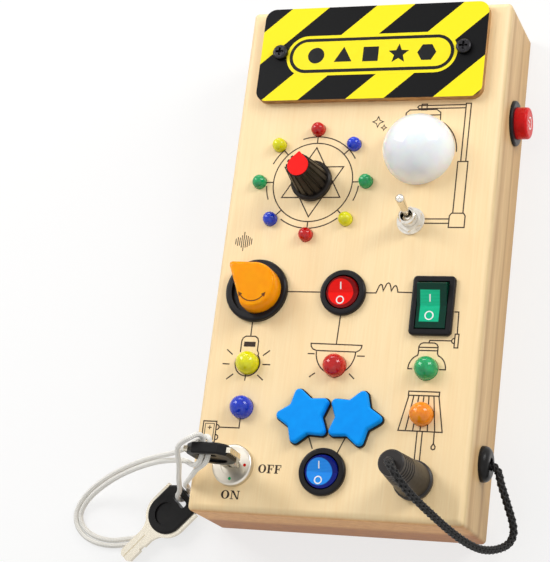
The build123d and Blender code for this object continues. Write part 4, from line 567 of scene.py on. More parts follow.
plastics = [
    ("black_abs_satin", "#121112", "#1A191A", 0.38, ABS_SPECULAR,
     "battery_box battery_door selector_switch lock_contacts button_switch jack_socket star_bases"),
    ("black_abs_polished_rims", "#141214", "#1A181A", 0.32, ABS_SPECULAR,
     "selector_bezel round_housings square_housing button_bezel"),
    ("brown_black_abs_knob", "#1A1512", "#241E1A", 0.33, ABS_SPECULAR, "knob_body"),
    ("black_abs_key_bow", "#0D0C0C", "#151414", 0.34, ABS_SPECULAR, "key_bow spare_key_bow"),
    ("grey_abs", "#8E9092", "#7E8082", 0.42, ABS_SPECULAR, "board_spacers knob_shaft"),
    ("red_abs_caps", "#FC0A04", "#F20803", 0.38, ABS_SPECULAR, "knob_cap"),
    ("red_abs_button", "#DC181A", "#C81214", 0.28, ABS_SPECULAR, "button_cap"),
    ("sky_blue_abs_stars", "#009CFC", "#0094F6", 0.5, 0.1, "star_faces"),
    ("black_pvc_plug", "#1E1A18", "#2A2523", 0.4, 0.3, "plug_barrel"),
    ("shrunk_pvc_cell_sleeve", "#2F7F4F", "#28734A", 0.25, ABS_SPECULAR, "battery_cells"),
]
for name, colour, deep, roughness, specular, nodes in plastics:
    dress(moulded_plastic(name, colour, deep, roughness, specular=specular), nodes)
print("Plastics:", len(plastics))

# %% [markdown]
# ## Clear coloured plastics
# The lamps, the amber cap and the rockers are clear acrylic or polycarbonate with dye in it.
# Light goes in, is coloured by the dye and comes out again near the edge, so such a piece glows
# around its rim and is deeper in the middle. Subsurface scattering with a reach of a millimetre
# or two gives that glow in a closed piece, and the polished surface mirrors the softboxes.

# %% Lamps, cap and bulb
LAMP_REACH = 1.5


def dyed_acrylic(name, colour, deep, reach, roughness=0.08, specular=0.15, coat=0.6):
    """A polished, dyed plastic that lets light through for reach mm."""
    finish, shader = new_finish(
        name, colour, roughness, IOR=1.49, Subsurface_Weight=0.3, Subsurface_Scale=reach * MM,
        Subsurface_Radius=linear(colour)[:3], Specular_IOR_Level=specular, Coat_Weight=coat,
        Coat_Roughness=0.03,
    )
    surface(finish, shader, grains(finish, 2.4), (colour, deep))
    return finish, shader


lamp_finishes = {}
for name, colour, deep, node in (
    ("red", "#D40A08", "#B40605", "lamps_red"), ("blue", "#1442D8", "#0A2AAE", "lamps_blue"),
    ("green", "#1FB56C", "#129254", "lamps_green"),
    ("yellow", "#ECEA00", "#D8D200", "lamps_yellow"),
    ("orange", "#FF9A12", "#EE8206", "lamp_orange"),
):
    lamp_finishes[name], _ = dyed_acrylic(name + "_dyed_acrylic", colour, deep, LAMP_REACH)
    dress(lamp_finishes[name], node)

amber, _ = dyed_acrylic(
    "amber_dyed_acrylic_cap", "#FCA000", "#F89800", 3.0, 0.2, specular=0.1, coat=0.08
)
dress(amber, "selector_cap")

milk, milk_shader = new_finish(
    "opal_polycarbonate_bulb", "#FFFDFF", 0.16, IOR=1.58, Subsurface_Weight=0.4,
    Subsurface_Scale=2.5 * MM, Coat_Weight=0.35, Coat_Roughness=0.04,
)
surface(milk, milk_shader, grains(milk, 6.0), ("#FFFDFF", "#F8F4FC"))
dress(milk, "bulb_dome bulb_lamp")
print("Lamp colours:", *lamp_finishes)

# %% [markdown]
# The three rockers are clear, dyed caps over a bright moulded carrier. The carrier is smaller
# than the cap, so a bright field with fine ribs, 0.45 mm apart, shows in the middle. The clear
# wall round it is painted deep and dark: the dye's depth with painted shade in it. The field is a
# distance from the cap's middle: round for two of them, and the larger of the two distances along
# X and Y for the oblong one.

# %% Ribbed rockers
RIB = 0.45 * MM
WALL_REACH, WALL_ROUGHNESS = 0.6, 0.14
FIELD_EDGE = (0.98, 1.04)


def shaded_ribbed_rocker(name, colour, deep, shaded_wall, middle, halves, oblong):
    """A dyed cap whose bright field reaches halves mm from its middle along X and Y, with painted
    shade on the wall round it.
    """
    finish, shader = dyed_acrylic(
        name, colour, deep, WALL_REACH, WALL_ROUGHNESS, specular=0.1, coat=0.1
    )
    place = add_node(finish, "SeparateXYZ", {
        "Vector": add_node(finish, "TexCoord").outputs["Object"]
    })
    steps = []
    for axis, centre, half in zip("XY", middle, halves):
        step = add_node(
            finish, "Math", {0: place.outputs[axis], 1: centre * MM}, operation="SUBTRACT"
        )
        steps.append(add_node(finish, "Math", {0: step, 1: half * MM}, operation="DIVIDE"))
    if oblong:
        sizes = [add_node(finish, "Math", {0: step}, operation="ABSOLUTE") for step in steps]
        reach = add_node(finish, "Math", {0: sizes[0], 1: sizes[1]}, operation="MAXIMUM")
    else:
        spot = add_node(finish, "CombineXYZ", {"X": steps[0], "Y": steps[1]})
        reach = add_node(finish, "VectorMath", {0: spot}, operation="LENGTH")
    turns = add_node(
        finish, "Math", {0: place.outputs["Y"], 1: 2 * pi / RIB}, operation="MULTIPLY"
    )
    wave = add_node(finish, "Math", {0: turns}, operation="SINE")
    lines = add_node(finish, "MapRange", {"Value": wave, "From Min": -1.0, "From Max": 1.0})
    carrier = add_node(
        finish, "Mix", {AMOUNT: lines, FIRST: colour, SECOND: deep}, data_type="RGBA"
    )
    # Outside the field the wall takes its deep colour, which is painted shade over the dye.
    wall_shade_amount = add_node(
        finish, "MapRange",
        {"Value": reach, "From Min": FIELD_EDGE[0], "From Max": FIELD_EDGE[1]},
    )
    carrier_and_shaded_wall = add_node(
        finish, "Mix", {AMOUNT: wall_shade_amount, FIRST: carrier, SECOND: shaded_wall}, data_type="RGBA"
    )
    join(finish, carrier_and_shaded_wall, shader.inputs["Base Color"])
    surface(finish, shader, lines, depth=0.02)
    return finish


# The fourth colour of each rocker is its wall's dark colour, painted shade over the dye.
for name, colour, deep, shaded_wall, middle, halves, oblong in (
    ("red", "#FF1A12", "#F0100A", "#7E0608", (-1.5, -15.5), (4.5, 4.5), False),
    ("blue", "#2F9EFA", "#1F88EC", "#0C1C7C", (-1.6, -78.8), (4.5, 4.5), False),
    ("green", "#1ECF9C", "#0FAE7E", "#0A3A2C", (30.9, -20.0), (3.4, 5.3), True),
):
    rocker = shaded_ribbed_rocker(name + "_ribbed_rocker", colour, deep, shaded_wall, middle, halves, oblong)
    dress(rocker, name + "_rocker")
    print("Rocker:", name)

# %% [markdown]
# ## Metals
# The lock, the toggle, the nuts and the keys are brass or steel with a nickel plate; screws and
# small steel parts are zinc plated. Plating follows the metal below it, so its marks stay in it:
# a faint mottle on the lock and the toggle, longer soft marks along the keys. Fully metallic, with
# the default IOR, a grey close to the metal's own and a roughness of 0.14 to 0.34.

# %% Plated metals
EVEN = (1, 1, 1)


def plated(name, colour, deep, roughness, mark, stretch, depth, **more):
    """A metal plate with marks of about mark mm in its colour, gloss and surface."""
    finish, shader = new_finish(name, colour, roughness, Metallic=1.0, **more)
    marks = grains(finish, mark, detail=3, stretch=stretch)
    surface(finish, shader, marks, (colour, deep), (roughness - 0.02, roughness + 0.05), depth)
    return finish, shader


metals = [
    ("zinc_plated_steel", "#C9CBCD", "#B3B6B9", 0.3, 0.5, EVEN, 0.01,
     "back_screws battery_contacts door_screw lamp_leads board_screws rotary_switch rotary_nut "
     "button_spring ring_nuts"),
    ("black_oxide_steel", "#3A393B", "#2B2A2C", 0.34, 0.5, EVEN, 0.01, "sign_screws"),
    ("bright_nickel_toggle", "#E9E4DA", "#DAD3C8", 0.14, 1.6, EVEN, 0.001,
     "toggle_lever toggle_nuts toggle_switch plug_pin"),
    ("nickel_plated_keys", "#E2DBCB", "#D6CDBB", 0.24, 1.2, (1, 4, 1), 0.002,
     "key_blade spare_key_blade"),
    ("tinned_brass", "#D9B45B", "#C59F49", 0.28, 0.5, EVEN, 0.01, "switch_terminals"),
]
for *recipe, nodes in metals:
    dress(plated(*recipe)[0], nodes)

# The lock's face is turned on a lathe, which stretches a highlight across the turning marks.
turned_nickel, turned_shader = plated(
    "turned_nickel_lock", "#D2CCC0", "#C8C1B4", 0.3, 6.0, EVEN, 0.00003, Anisotropic=0.4
)
tangent = add_node(turned_nickel, "Tangent", direction_type="RADIAL", axis="Z")
join(turned_nickel, tangent, turned_shader.inputs["Tangent"])
dress(turned_nickel, "lock_barrel lock_cylinder")
print("Metals:", len(metals) + 1)

# %% [markdown]
# ## Circuit boards, rubber and textiles
# The circuit boards are glass fibre under a green lacquer. The grommet is soft black rubber.
# Polyester yarn is fine and shiny, so the braid gets a little sheen; the cotton lace is matt,
# and its weave is drawn from the tube's own map: eight yarns round it, half of them each way.
# The hollows between the yarns are painted a little darker, as painted shade.

# %% Boards, rubber, braid and lace
board_green, board_shader = new_finish("green_solder_lacquer", "#1D6B3C", 0.3, IOR=1.5)
surface(board_green, board_shader, grains(board_green, 1.4, 4), ("#1F7141", "#155330"))
dress(board_green, "ring_board control_board")

rubber = moulded_plastic("black_rubber_grommet", "#121212", "#1C1B1B", 0.3, 0.8, 0.01)
dress(rubber, "cord_grommet")

polyester, polyester_shader = new_finish(
    "black_polyester_yarn", "#0C0B0A", 0.5, Sheen_Weight=0.1, Sheen_Roughness=0.4,
    Specular_IOR_Level=0.35,
)
yarn = grains(polyester, 0.35)
surface(polyester, polyester_shader, yarn, ("#12100F", "#070606"), depth=0.05)
plug_cord.data.materials.append(polyester)

YARNS = 8
YARN_PITCH = 5.0 * MM
cotton, cotton_shader = new_finish(
    "white_cotton_braid", "#F4F1EA", 0.75, Sheen_Weight=0.25, Sheen_Roughness=0.5
)
chart = add_node(cotton, "SeparateXYZ", {"Vector": add_node(cotton, "TexCoord").outputs["UV"]})
around, along = (
    add_node(cotton, "Math", {0: chart.outputs[axis], 1: pi * YARNS / turn}, operation="MULTIPLY")
    for axis, turn in (("X", 1), ("Y", YARN_PITCH))
)
waves = []
for way in ("ADD", "SUBTRACT"):
    slope = add_node(cotton, "Math", {0: along, 1: around}, operation=way)
    waves.append(add_node(cotton, "Math", {0: slope}, operation="SINE"))
crossing = add_node(cotton, "Math", {0: waves[0], 1: waves[1]}, operation="MULTIPLY")
weave = add_node(cotton, "MapRange", {"Value": crossing, "From Min": -1.0, "From Max": 1.0})
# The weave's low places get the darker white: painted shade between the yarns.
surface(cotton, cotton_shader, weave, ("#DEDAD0", "#F8F6F0"), depth=0.12)
for piece in lace_pieces.values():
    piece.data.materials.append(cotton)
print("Finishes in all:", len(bpy.data.materials))

# %% [markdown]
# ## The warning sign
# The sign is thin plywood with a print on its top. Its black and yellow stripes are at 42 degrees
# and repeat every 32.5 mm. They are drawn by the plate's own material: a point's distance along
# the stripes' direction is wrapped to one repeat, and compared with the width of the black part.
# Only the face that looks up is printed; the edge shows the brown plies.

# %% Stripes on the sign
STRIPE_SLOPE = tan(radians(42))
STRIPE_REPEAT = 32.5 * MM
STRIPE_BLACK = 18.2 * MM
STRIPE_START = -24.9 * MM
STRIPE_BASE_Y = 57.75 * MM

printed, printed_shader = new_finish(
    "printed_plywood_sign", "#FFEE22", 0.4, Specular_IOR_Level=0.1
)
place = add_node(printed, "SeparateXYZ", {
    "Vector": add_node(printed, "TexCoord").outputs["Object"]
})
slant = add_node(
    printed, "Math", {0: place.outputs["Y"], 1: -1 / STRIPE_SLOPE, 2: place.outputs["X"]},
    operation="MULTIPLY_ADD",
)
for operation, inputs in (
    ("ADD", {1: STRIPE_BASE_Y / STRIPE_SLOPE - STRIPE_START}), ("WRAP", {1: STRIPE_REPEAT, 2: 0.0}),
    ("LESS_THAN", {1: STRIPE_BLACK}),
):
    slant = add_node(printed, "Math", {0: slant, **inputs}, operation=operation)
stripes = add_node(
    printed, "Mix", {AMOUNT: slant, FIRST: "#FFEC26", SECOND: "#101011"}, data_type="RGBA"
)
plies = add_node(
    printed, "Mix",
    {AMOUNT: grains(printed, 0.6, 2, (6, 6, 1)), FIRST: "#C89A62", SECOND: "#8D6238"},
    data_type="RGBA",
)
facing = add_node(printed, "SeparateXYZ", {
    "Vector": add_node(printed, "NewGeometry").outputs["Normal"]
})
is_top = add_node(printed, "Math", {0: facing.outputs["Z"], 1: 0.8}, operation="GREATER_THAN")
sign_colour = add_node(
    printed, "Mix", {AMOUNT: is_top, FIRST: plies, SECOND: stripes}, data_type="RGBA"
)
join(printed, sign_colour, printed_shader.inputs["Base Color"])
surface(printed, printed_shader, grains(printed, 1.5), depth=0.006)
dress(printed, "sign_plate")
print("Stripes every", STRIPE_REPEAT / MM, "mm")

# %% [markdown]
# ## Thin prints as real pieces
# Marks that are printed, filled or burnt stand a few hundredths of a millimetre proud. Built as
# closed slabs and ribbons, they keep their sharp edges from every side and in every renderer.
# A ribbon's corners are mitred: each inner corner is pushed out along the bisector until both
# edges keep the same width.

# %% Slabs and ribbons
# How far a print reaches into what carries it, and how far it stands proud, in mm.
SUNK, PROUD = 0.05, 0.04


def slab(outline, low, top):
    """A flat closed piece between two heights. The outline is a list of (x, y) in mm."""
    return [(x, y, z) for z in (low, top) for x, y in outline], skin(2, len(outline)), []


def ribbon(route, width, low, top, closed=False, ground=None):
    """A closed band of one width along a route of (x, y) in mm. ground adds a height to both."""
    spots = [Vector(spot) for spot in route]
    count = len(spots)
    points = []
    for i, spot in enumerate(spots):
        runs = []
        if i or closed:
            runs.append((spot - spots[i - 1]).normalized())
        if i + 1 < count or closed:
            runs.append((spots[(i + 1) % count] - spot).normalized())
        across_first = Vector((-runs[0].y, runs[0].x))
        across_last = Vector((-runs[-1].y, runs[-1].x))
        mitre = (across_first + across_last).normalized()
        mitre *= width / 2 / max(0.4, mitre.dot(across_first))
        left, right = spot + mitre, spot - mitre
        for place, height in ((left, low), (right, low), (right, top), (left, top)):
            rise = ground(place.x, place.y) if ground else 0
            points.append((place.x, place.y, height + rise))
    return points, skin(count, 4, closed), []


def arc(x, y, radius, start, stop, step=6, tall=None):
    """Points on an arc about (x, y), from start to stop in degrees; tall makes it an oval."""
    count = max(2, round(abs(stop - start) / step))
    angles = [radians(start + (stop - start) * i / count) for i in range(count + 1)]
    return [(x + radius * cos(angle), y + (tall or radius) * sin(angle)) for angle in angles]


def ring(x, y, radius, step=6):
    return arc(x, y, radius, 0, 360 - step, step)


def corners(left, first, right, last):
    """A rectangle from one corner to the opposite one."""
    return [(left, first), (right, first), (right, last), (left, last)]


def print_piece(name, parts, finish, body, place=Matrix.Identity(4)):
    """A thin piece built in mm, put in its place in metres, and fixed to a body."""
    piece = new_piece(name, parts, smooth=False)
    piece.data.transform(place)
    piece.data.transform(Matrix.Scale(MM, 4))
    piece.data.materials.append(finish)
    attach(piece, body)
    return piece


print("Slabs and ribbons ready")

# %% [markdown]
# ## The sign's panel
# A capsule-shaped panel stands on the stripes. It holds a row of five plain shapes for a child to
# name: a disc, a triangle, a square, a star and a hexagon. It is built as a stack of printed
# layers, each a little higher than the one below it, so that no two share a plane.

# %% Panel and shapes on the sign
sign_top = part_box("sign_plate")[1].z / MM
SIGN_X, SIGN_Y = -0.3, 73.95
PANEL_HALF = 24.2
LAYER = 0.03

ink_yellow = moulded_plastic("yellow_screen_ink", "#FFEC26", "#FCE822", 0.4, 0.9, 0.002)
ink_black = moulded_plastic("black_screen_ink", "#101011", "#161617", 0.4, 0.9, 0.002)


def star_points(x, y, outer, inner, count, turn):
    points = []
    for i in range(2 * count):
        radius = inner if i % 2 else outer
        angle = radians(turn + 180 * i / count)
        points.append((x + radius * cos(angle), y + radius * sin(angle)))
    return points


for step, (name, radius, ink) in enumerate((
    ("panel_border", 7.9, ink_yellow), ("panel_line", 6.75, ink_black),
    ("panel_field", 5.5, ink_yellow),
), 1):
    capsule = arc(SIGN_X + PANEL_HALF, SIGN_Y, radius, -90, 90, 9)
    capsule += arc(SIGN_X - PANEL_HALF, SIGN_Y, radius, 90, 270, 9)
    layer = slab(capsule, sign_top - SUNK, sign_top + LAYER * step)
    print_piece(name, [layer], ink, "board")
shapes = [
    ring(-21.0, 73.95, 3.1), arc(-10.6, 73.2, 3.9, 90, 330, 120), corners(-3.2, 71.1, 2.6, 76.8),
    star_points(10.2, 73.7, 4.0, 1.75, 5, 90), arc(20.6, 73.95, 3.5, 0, 300, 60),
]
print_piece(
    "panel_shapes", [slab(shape, sign_top, sign_top + 4 * LAYER) for shape in shapes], ink_black,
    "board",
)
print("Sign top at", round(sign_top, 2), "mm")

# %% [markdown]
# ## Burnt line drawings
# The drawings between the fittings are burnt into the varnished pine by a laser, in an even line
# 0.42 mm wide, or thinner for small detail. They are a wheel round the knob, wires, and plain
# figures of things that work with electricity: a bulb, lamps, a street light and a battery. The
# char is a patchy dark brown, and quite matt. Each figure is a list of corners in mm, with
# heights from the case's lower edge.

# %% A pen for burnt lines
burnt, burnt_shader = new_finish("laser_burnt_pine", "#3A2417", 0.8)
surface(burnt, burnt_shader, grains(burnt, 0.5), ("#3A2616", "#22140B"))

LINE, THIN_LINE = 0.42, 0.3
LINE_LOW, LINE_TOP = 31.9, 32.03
HALF_BOARD = 94
drawn = []


def on_board(route):
    return [(x, height - HALF_BOARD) for x, height in route]


def line_top():
    """Each next line is a little higher, so that crossings share no plane."""
    return LINE_TOP + 0.001 * (len(drawn) % 9)


def draw(route, closed=False, width=LINE):
    drawn.append(ribbon(on_board(route), width, LINE_LOW, line_top(), closed))


def strokes(*ends, width=LINE):
    """Straight lines, each given as x, height, x, height."""
    for x, height, far_x, far_height in ends:
        draw([(x, height), (far_x, far_height)], width=width)


print("Pen:", LINE, "mm wide")

# %% Wheel, sound bars and wires
# The wheel: a ring, two crossed triangles, eight spokes and the arcs of an outer ring.
WHEEL_X, WHEEL_HEIGHT = -17.5, 120
WHEEL_R, OUTER_R = 14.9, 17.4
draw(ring(WHEEL_X, WHEEL_HEIGHT, WHEEL_R, 5), closed=True)
draw([(-17.5, 133.2), (-28.6, 114.2), (-6.6, 114.2)], closed=True)
draw([(-17.5, 106.9), (-6.5, 125.8), (-28.7, 125.8)], closed=True)
for k in range(8):
    angle = radians(45 * k)
    draw([
        (WHEEL_X + radius * cos(angle), WHEEL_HEIGHT + radius * sin(angle))
        for radius in (WHEEL_R, OUTER_R)
    ])
for start, stop in ((108.7, 30.6), (156, 133), (184.5, 202), (-5, -24), (233.6, 308.8)):
    draw(arc(WHEEL_X, WHEEL_HEIGHT, OUTER_R, start, stop))

# Sound bars.
BARS_X, BARS_HEIGHT, BAR_STEP = -40.8, 97.5, 0.75
for k, tall in enumerate([2.2, 3.2, 3.0, 4.6, 7.2, 4.6, 4.2, 3.2, 2.2]):
    x = BARS_X + BAR_STEP * (k - 4)
    strokes((x, BARS_HEIGHT - tall / 2, x, BARS_HEIGHT + tall / 2), width=THIN_LINE)

# Wires between the switches, with a coil.
strokes((-21.6, 79, -9.2, 79))
draw([
    (7.2, 79), (10.7, 79), (11.2, 80.4), (11.6, 81.6), (12.1, 82.1), (12.6, 81.9), (12.9, 81.1),
    (13.2, 79.8), (13.8, 81.3), (14.3, 82.4), (14.9, 82.7), (15.4, 82.3), (15.8, 81.2),
    (16.1, 79.8), (16.7, 81.0), (17.1, 81.6), (17.6, 81.7), (18.0, 81.2), (18.3, 80.3),
    (18.5, 79.4), (24, 79.3),
])
print("Lines so far:", len(drawn))

# %% Bulb and ceiling lamp
# A bulb in its socket.
strokes((-33.4, 67.9, -33.4, 62.4))
draw([
    (-36.5, 56.6), (-36.5, 60.6), (-36.1, 61.7), (-35.1, 62.4), (-31.6, 62.4), (-30.6, 61.7),
    (-30.2, 60.6), (-30.2, 57.4), (-29.6, 56.2),
] + arc(-33.3, 52.6, 4.6, 40, -225))
drawn.append(slab(on_board(corners(-35.5, 58.6, -31.2, 60.4)), LINE_LOW, line_top()))
strokes(
    (-40.0, 52.1, -42.6, 52.2), (-27.7, 52.3, -24.8, 52.3), (-39.3, 55.6, -41.6, 57.4),
    (-27.9, 55.5, -25.5, 57.4), (-38.1, 48.6, -40.5, 46.6), (-29.1, 48.5, -26.8, 46.7),
    (-33.4, 48.6, -33.5, 46.3),
)

# A ceiling lamp.
strokes((-1.2, 70.5, -1.5, 60.3))
draw([
    (-10.7, 60.4), (7.8, 60.1), (7.7, 59.2), (7.1, 58.3), (5.9, 57.7), (-8.4, 57.9), (-9.8, 58.4),
    (-10.5, 59.3),
], closed=True)
draw(arc(-1.3, 57.6, 7.1, 180, 360, tall=8.0))
strokes(
    (-9.0, 56.7, -11.5, 56.7), (6.4, 56.3, 9.2, 56.3), (-8.0, 49.9, -10.0, 48.4),
    (4.3, 50.0, 6.3, 48.2),
)
print("Lines so far:", len(drawn))

# %% Wall lamp and table lamp
# A wall lamp.
draw([(39.2, 72.7), (40.7, 72.7), (40.9, 64.9)])
draw(corners(40.2, 64.9, 41.5, 60.1), closed=True)
draw([(40.2, 63.6), (39.4, 63.1), (39.1, 62.5), (39.4, 61.9), (40.2, 61.4)])
draw([(39.1, 62.5), (31.6, 62.5), (31.3, 61.5)])
draw([
    (28.0, 57.9), (28.0, 60.3), (28.5, 61.2), (29.4, 61.6), (33.3, 61.6), (34.2, 61.2),
    (34.7, 60.3), (34.7, 57.9),
])
strokes((28.0, 60.0, 34.7, 60.0), (28.0, 58.9, 34.7, 58.9))
draw([(28.0, 57.9)] + arc(29.2, 52.4, 4.3, 108, 180, 8, tall=5.0) + [(26.4, 52.4)])
draw([(34.7, 57.9)] + arc(33.8, 52.4, 4.2, 72, 0, 8, tall=5.0) + [(35.8, 52.4)])

# A table lamp with a pull cord.
draw(corners(26.1, 44.6, 36.8, 43.2), closed=True)
draw([(26.3, 43.2), (36.7, 43.2), (39.0, 30.9), (23.7, 31.0)], closed=True)
for k in range(1, 6):
    strokes((26.3 + 10.4 * k / 6, 43.2, 23.7 + 15.3 * k / 6, 30.9))
strokes((30.4, 30.9, 30.4, 20.7), (32.2, 30.9, 32.2, 20.7), (36.3, 30.9, 36.4, 27.0))
draw([
    (36.4, 27.0), (35.7, 25.9), (35.8, 25.2), (36.4, 24.9), (37.0, 25.2), (37.1, 25.9),
], closed=True)
print("Lines so far:", len(drawn))

# %% Street light and battery
# A street light on its pole.
draw([(14.3, 143.0), (14.5, 146.0), (15.8, 147.1), (25.6, 147.1), (27.1, 146.0), (27.3, 143.0)])
strokes((14.4, 145.0, 27.0, 145.0))
draw(corners(20.0, 149.2, 21.9, 147.0), closed=True)
draw([(36.1, 148.7), (19.0, 148.7), (18.5, 148.1), (19.0, 147.5), (36.1, 147.5)])
draw(corners(36.1, 149.2, 37.9, 127.3), closed=True)
draw(corners(35.1, 127.3, 38.7, 108.2), closed=True)
draw([
    (34.0, 103.0), (39.6, 103.0), (39.6, 107.2), (38.9, 108.2), (34.7, 108.2), (34.0, 107.2),
], closed=True)
strokes((24.4, 106.1, 34.0, 106.1), (24.4, 104.5, 34.0, 104.5))
draw(arc(20.7, 131.0, 13.5, 56, 0))

# Two sparkles, two wires to the stars and a battery.
draw(star_points(4.4, 142.8, 2.0, 0.85, 4, 90), closed=True, width=THIN_LINE)
draw(star_points(6.8, 140.5, 1.0, 0.45, 4, 90), closed=True, width=THIN_LINE)
strokes((-7.9, 28.3, -5.7, 23.3), (5.8, 28.2, 3.3, 22.2))
draw(corners(-46.7, 24.0, -41.8, 31.4), closed=True)
draw(corners(-45.9, 24.8, -42.6, 30.6), closed=True, width=0.25)
strokes(
    (-44.9, 29.2, -43.5, 29.2), (-44.2, 28.5, -44.2, 29.9), (-44.9, 26.2, -43.5, 26.2),
    width=THIN_LINE,
)
draw(arc(-41.6, 29.4, 0.9, 90, -90, 30))
draw(arc(-41.6, 25.8, 0.9, 90, -90, 30))
draw([(-33.3, 32.5), (-33.3, 29.4), (-40.7, 29.4)])
strokes((-42.2, 24.0, -42.2, 22.6))
print_piece("burnt_lines", drawn, burnt, "board")
print("Lines drawn:", len(drawn))

# %% [markdown]
# ## ON and OFF at the lock
# The two positions of the key are named in a bold letter with serifs. A few slabs make each
# letter: the O is an oval with an oval hole, thicker at its sides than at its top, the way a broad
# pen would leave it; the N and the F are stems, bars and serifs.

# %% Letters at the lock
# Each block of a letter: its left and lower edges, width and height, in parts of the letter's own.
LETTER_BLOCKS = {
    "F": [(0.13, 0, 0.30, 1), (0, 0, 0.58, 0.09), (0, 0.91, 0.98, 0.09), (0.88, 0.68, 0.10, 0.25),
          (0.40, 0.46, 0.34, 0.09), (0.68, 0.34, 0.09, 0.32)],
    "N": [(0.12, 0, 0.09, 1), (0, 0, 0.34, 0.08), (0.80, 0, 0.10, 1), (0.68, 0.92, 0.32, 0.08),
          (0, 0.92, 0.30, 0.08)],
}
letters = []


def put_slab(outline):
    top = LINE_TOP + 0.002 * (len(letters) % 5)
    letters.append(slab(on_board(outline), LINE_LOW, top))


def oval_letter(left, base, wide, tall, count=36):
    """An oval band that is thick at its sides."""
    points = []
    for k in range(count):
        angle = 2 * pi * k / count
        x, y = left + wide / 2, base + tall / 2 - HALF_BOARD
        inner = (x + 0.235 * wide * cos(angle), y + 0.42 * tall * sin(angle))
        outer = (x + 0.5 * wide * cos(angle), y + 0.5 * tall * sin(angle))
        points += [(*outer, LINE_LOW), (*inner, LINE_LOW), (*inner, LINE_TOP), (*outer, LINE_TOP)]
    letters.append((points, skin(count, 4, closed=True), []))


for letter, left, base, wide in (
    ("O", -24.3, 14.1, 2.9), ("F", -21.1, 14.1, 2.4), ("F", -18.4, 14.1, 2.4),
    ("O", -36.7, 4.5, 3.1), ("N", -33.3, 4.5, 3.4),
):
    tall = 3.0
    if letter == "O":
        oval_letter(left, base, wide, tall)
    for x, y, across_it, up_it in LETTER_BLOCKS.get(letter, []):
        x, y = left + x * wide, base + y * tall
        put_slab(corners(x, y, x + across_it * wide, y + up_it * tall))
    if letter == "N":
        put_slab([
            (left + 0.08 * wide, base + tall), (left + 0.34 * wide, base + tall),
            (left + 0.90 * wide, base), (left + 0.74 * wide, base),
        ])
print_piece("lock_letters", letters, burnt, "board")
print("Letter slabs:", len(letters))

# %% [markdown]
# ## Marks on the switches
# The rockers carry a bar for on and a ring for off, in white. They are built flat in the
# rocker's own axes, follow its shallow valley, and are then tipped by ten degrees with it. The
# push button has the usual ring and bar, and the lock a red and a green dot.

# %% Bars, rings and dots
ink_white = moulded_plastic("white_pad_ink", "#F7F7F4", "#ECECE8", 0.4, 0.9, 0.004)

ROCKER_TIP = radians(10)
ROCKER_HEIGHT, VALLEY = 32.3, 1.4
BAR_LONG, BAR_WIDE, RING_WIDE = 2.5, 0.45, 0.42


def rocker_ground(x, y):
    return VALLEY + abs(y) * tan(ROCKER_TIP)


for colour, place, bar_at, ring_at, ring_radius in (
    ("red", (-1.5, -15.3), 2.4, -2.6, 1.25), ("blue", (-1.8, -78.6), 2.4, -2.7, 1.2),
    ("green", (30.9, -19.5), 2.6, -3.4, 1.4),
):
    bar = [(0, bar_at - BAR_LONG / 2), (0, bar_at), (0, bar_at + BAR_LONG / 2)]
    marks = [
        ribbon(route, width, -SUNK, PROUD, closed, rocker_ground)
        for route, width, closed in (
            (bar, BAR_WIDE, False), (ring(0, ring_at, ring_radius, 15), RING_WIDE, True),
        )
    ]
    tipped = Matrix.Translation((*place, ROCKER_HEIGHT)) @ Matrix.Rotation(ROCKER_TIP, 4, "X")
    switch = colour + "_switch"
    print_piece(colour + "_rocker_marks", marks, ink_white, switch, tipped)

# The button's face looks along X: its marks are built flat, then stood up with Y to the right.
stood_up = Matrix(((0, 0, 1, 0), (1, 0, 0, 55.2), (0, 1, 0, 13.1), (0, 0, 0, 1)))
button_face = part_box("button_cap")[1].x / MM
power_sign = [
    ribbon(arc(0, 0, 2.1, 125, 415, 10), BAR_WIDE, button_face - SUNK, button_face + PROUD),
    ribbon([(0, 0.4), (0, 2.9)], BAR_WIDE, button_face - SUNK, button_face + PROUD + 0.005),
]
print_piece("button_marks", power_sign, ink_white, "button", stood_up)

LOCK_X, LOCK_Y, LOCK_RIM = -33.4, -78, 34.4
DOT_CIRCLE, DOT_R = 4.9, 0.55
for colour, angle in (("red", 0), ("green", -90)):
    x = LOCK_X + DOT_CIRCLE * cos(radians(angle))
    y = LOCK_Y + DOT_CIRCLE * sin(radians(angle))
    dot = slab(ring(x, y, DOT_R, 20), LOCK_RIM - SUNK, LOCK_RIM + PROUD)
    print_piece("lock_dot_" + colour, [dot], lamp_finishes[colour], "board")
print("Button face at", round(button_face, 1), "mm")

# %% [markdown]
# ## The amber cap
# The selector's cap is one clear amber moulding: round on the right, straight on the left, with a
# pointer at the corner between. It is modelled as a stack of copies of its outline, a little
# wider at the foot for the mould's draft, and drawn in over the last millimetre and a half for a
# soft rim. It stands for the plain cap of the frame, which stays for contact.

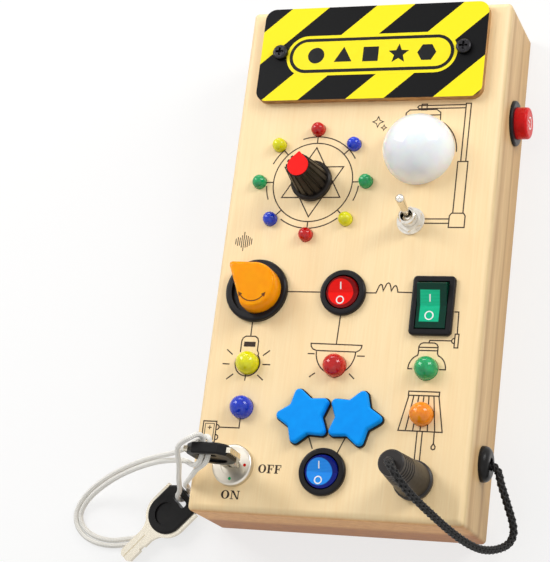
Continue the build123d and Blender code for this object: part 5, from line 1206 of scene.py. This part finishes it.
# %% Stack the cap's outlines
cap_foot, CAP_TOP = (corner.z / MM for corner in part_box("selector_cap"))
CAP_MIDDLE = Vector((-32.6, -15.2))
outline = (
    [(-41.3, -8.3), (-41.35, -7.6), (-41.1, -7.1), (-40.5, -6.8)]
    + arc(-31.9, -15.3, 8.3, 88, -104, 6) + [(-34.8, -23.1), (-35.5, -22.3)]
)
levels = [
    (cap_foot, 1.04), (CAP_TOP - 1.6, 1.01), (CAP_TOP - 0.8, 0.995), (CAP_TOP - 0.3, 0.97),
    (CAP_TOP - 0.06, 0.94), (CAP_TOP, 0.9), (CAP_TOP, 0.8),
]
cap_points = [
    (*(CAP_MIDDLE + (Vector(spot) - CAP_MIDDLE) * scale), z)
    for z, scale in levels for spot in outline
]
cap = (cap_points, skin(len(levels), len(outline)), [])
amber_cap = print_piece("amber_pointer_cap", [cap], amber, "selector")
amber_cap.data.shade_smooth()
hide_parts("selector_cap")
print("Cap:", round(CAP_TOP - cap_foot, 1), "mm tall")

# %% Print the arrow on the cap
# A curved arrow with a head at each end, in brown.
ink_brown = moulded_plastic("brown_pad_ink", "#6E3A08", "#5A2E06", 0.45, 0.9, 0.004)
ARROW_WIDE, ARROW_PROUD, HEAD_PROUD = 0.4, 0.03, 0.045
arrow = arc(-31.3, -16.3, 5.2, 212, 328, 6)
arrow_parts = [ribbon(arrow, ARROW_WIDE, CAP_TOP - SUNK, CAP_TOP + ARROW_PROUD)]
for tip, back in ((arrow[0], arrow[2]), (arrow[-1], arrow[-3])):
    along = (Vector(tip) - Vector(back)).normalized()
    side = Vector((-along.y, along.x))
    point = Vector(tip) + along * 1.1
    foot = Vector(tip) - along * 0.5
    head = [tuple(point), tuple(foot + side * 0.8), tuple(foot - side * 0.8)]
    arrow_parts.append(slab(head, CAP_TOP - SUNK, CAP_TOP + HEAD_PROUD))
print_piece("cap_arrow", arrow_parts, ink_brown, "selector")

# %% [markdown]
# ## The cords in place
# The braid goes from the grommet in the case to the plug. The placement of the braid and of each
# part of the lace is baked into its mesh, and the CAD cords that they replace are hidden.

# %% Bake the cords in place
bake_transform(plug_cord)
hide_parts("plug_cord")


for name, piece in lace_pieces.items():
    run = lace_line[piece["first"] : piece["last"] + 1]
    if name in ("lace_at_key", "lace_round_key"):
        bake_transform(piece)
    else:
        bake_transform(piece)
    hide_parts("key_lace")
print("Cords tied:", 1 + len(lace_pieces))

# %% [markdown]
# ## The button's spring
# A coil spring shortens when the button goes in. A copy of its mesh, fixed to the board, stands
# for it.

# %% Copy the spring
working_spring = cad_nodes["button_spring"].copy()
working_spring.data = cad_nodes["button_spring"].data.copy()
working_spring.name = "working_spring"
bpy.context.scene.collection.objects.link(working_spring)
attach(working_spring, "board")
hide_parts("button_spring")
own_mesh(working_spring)
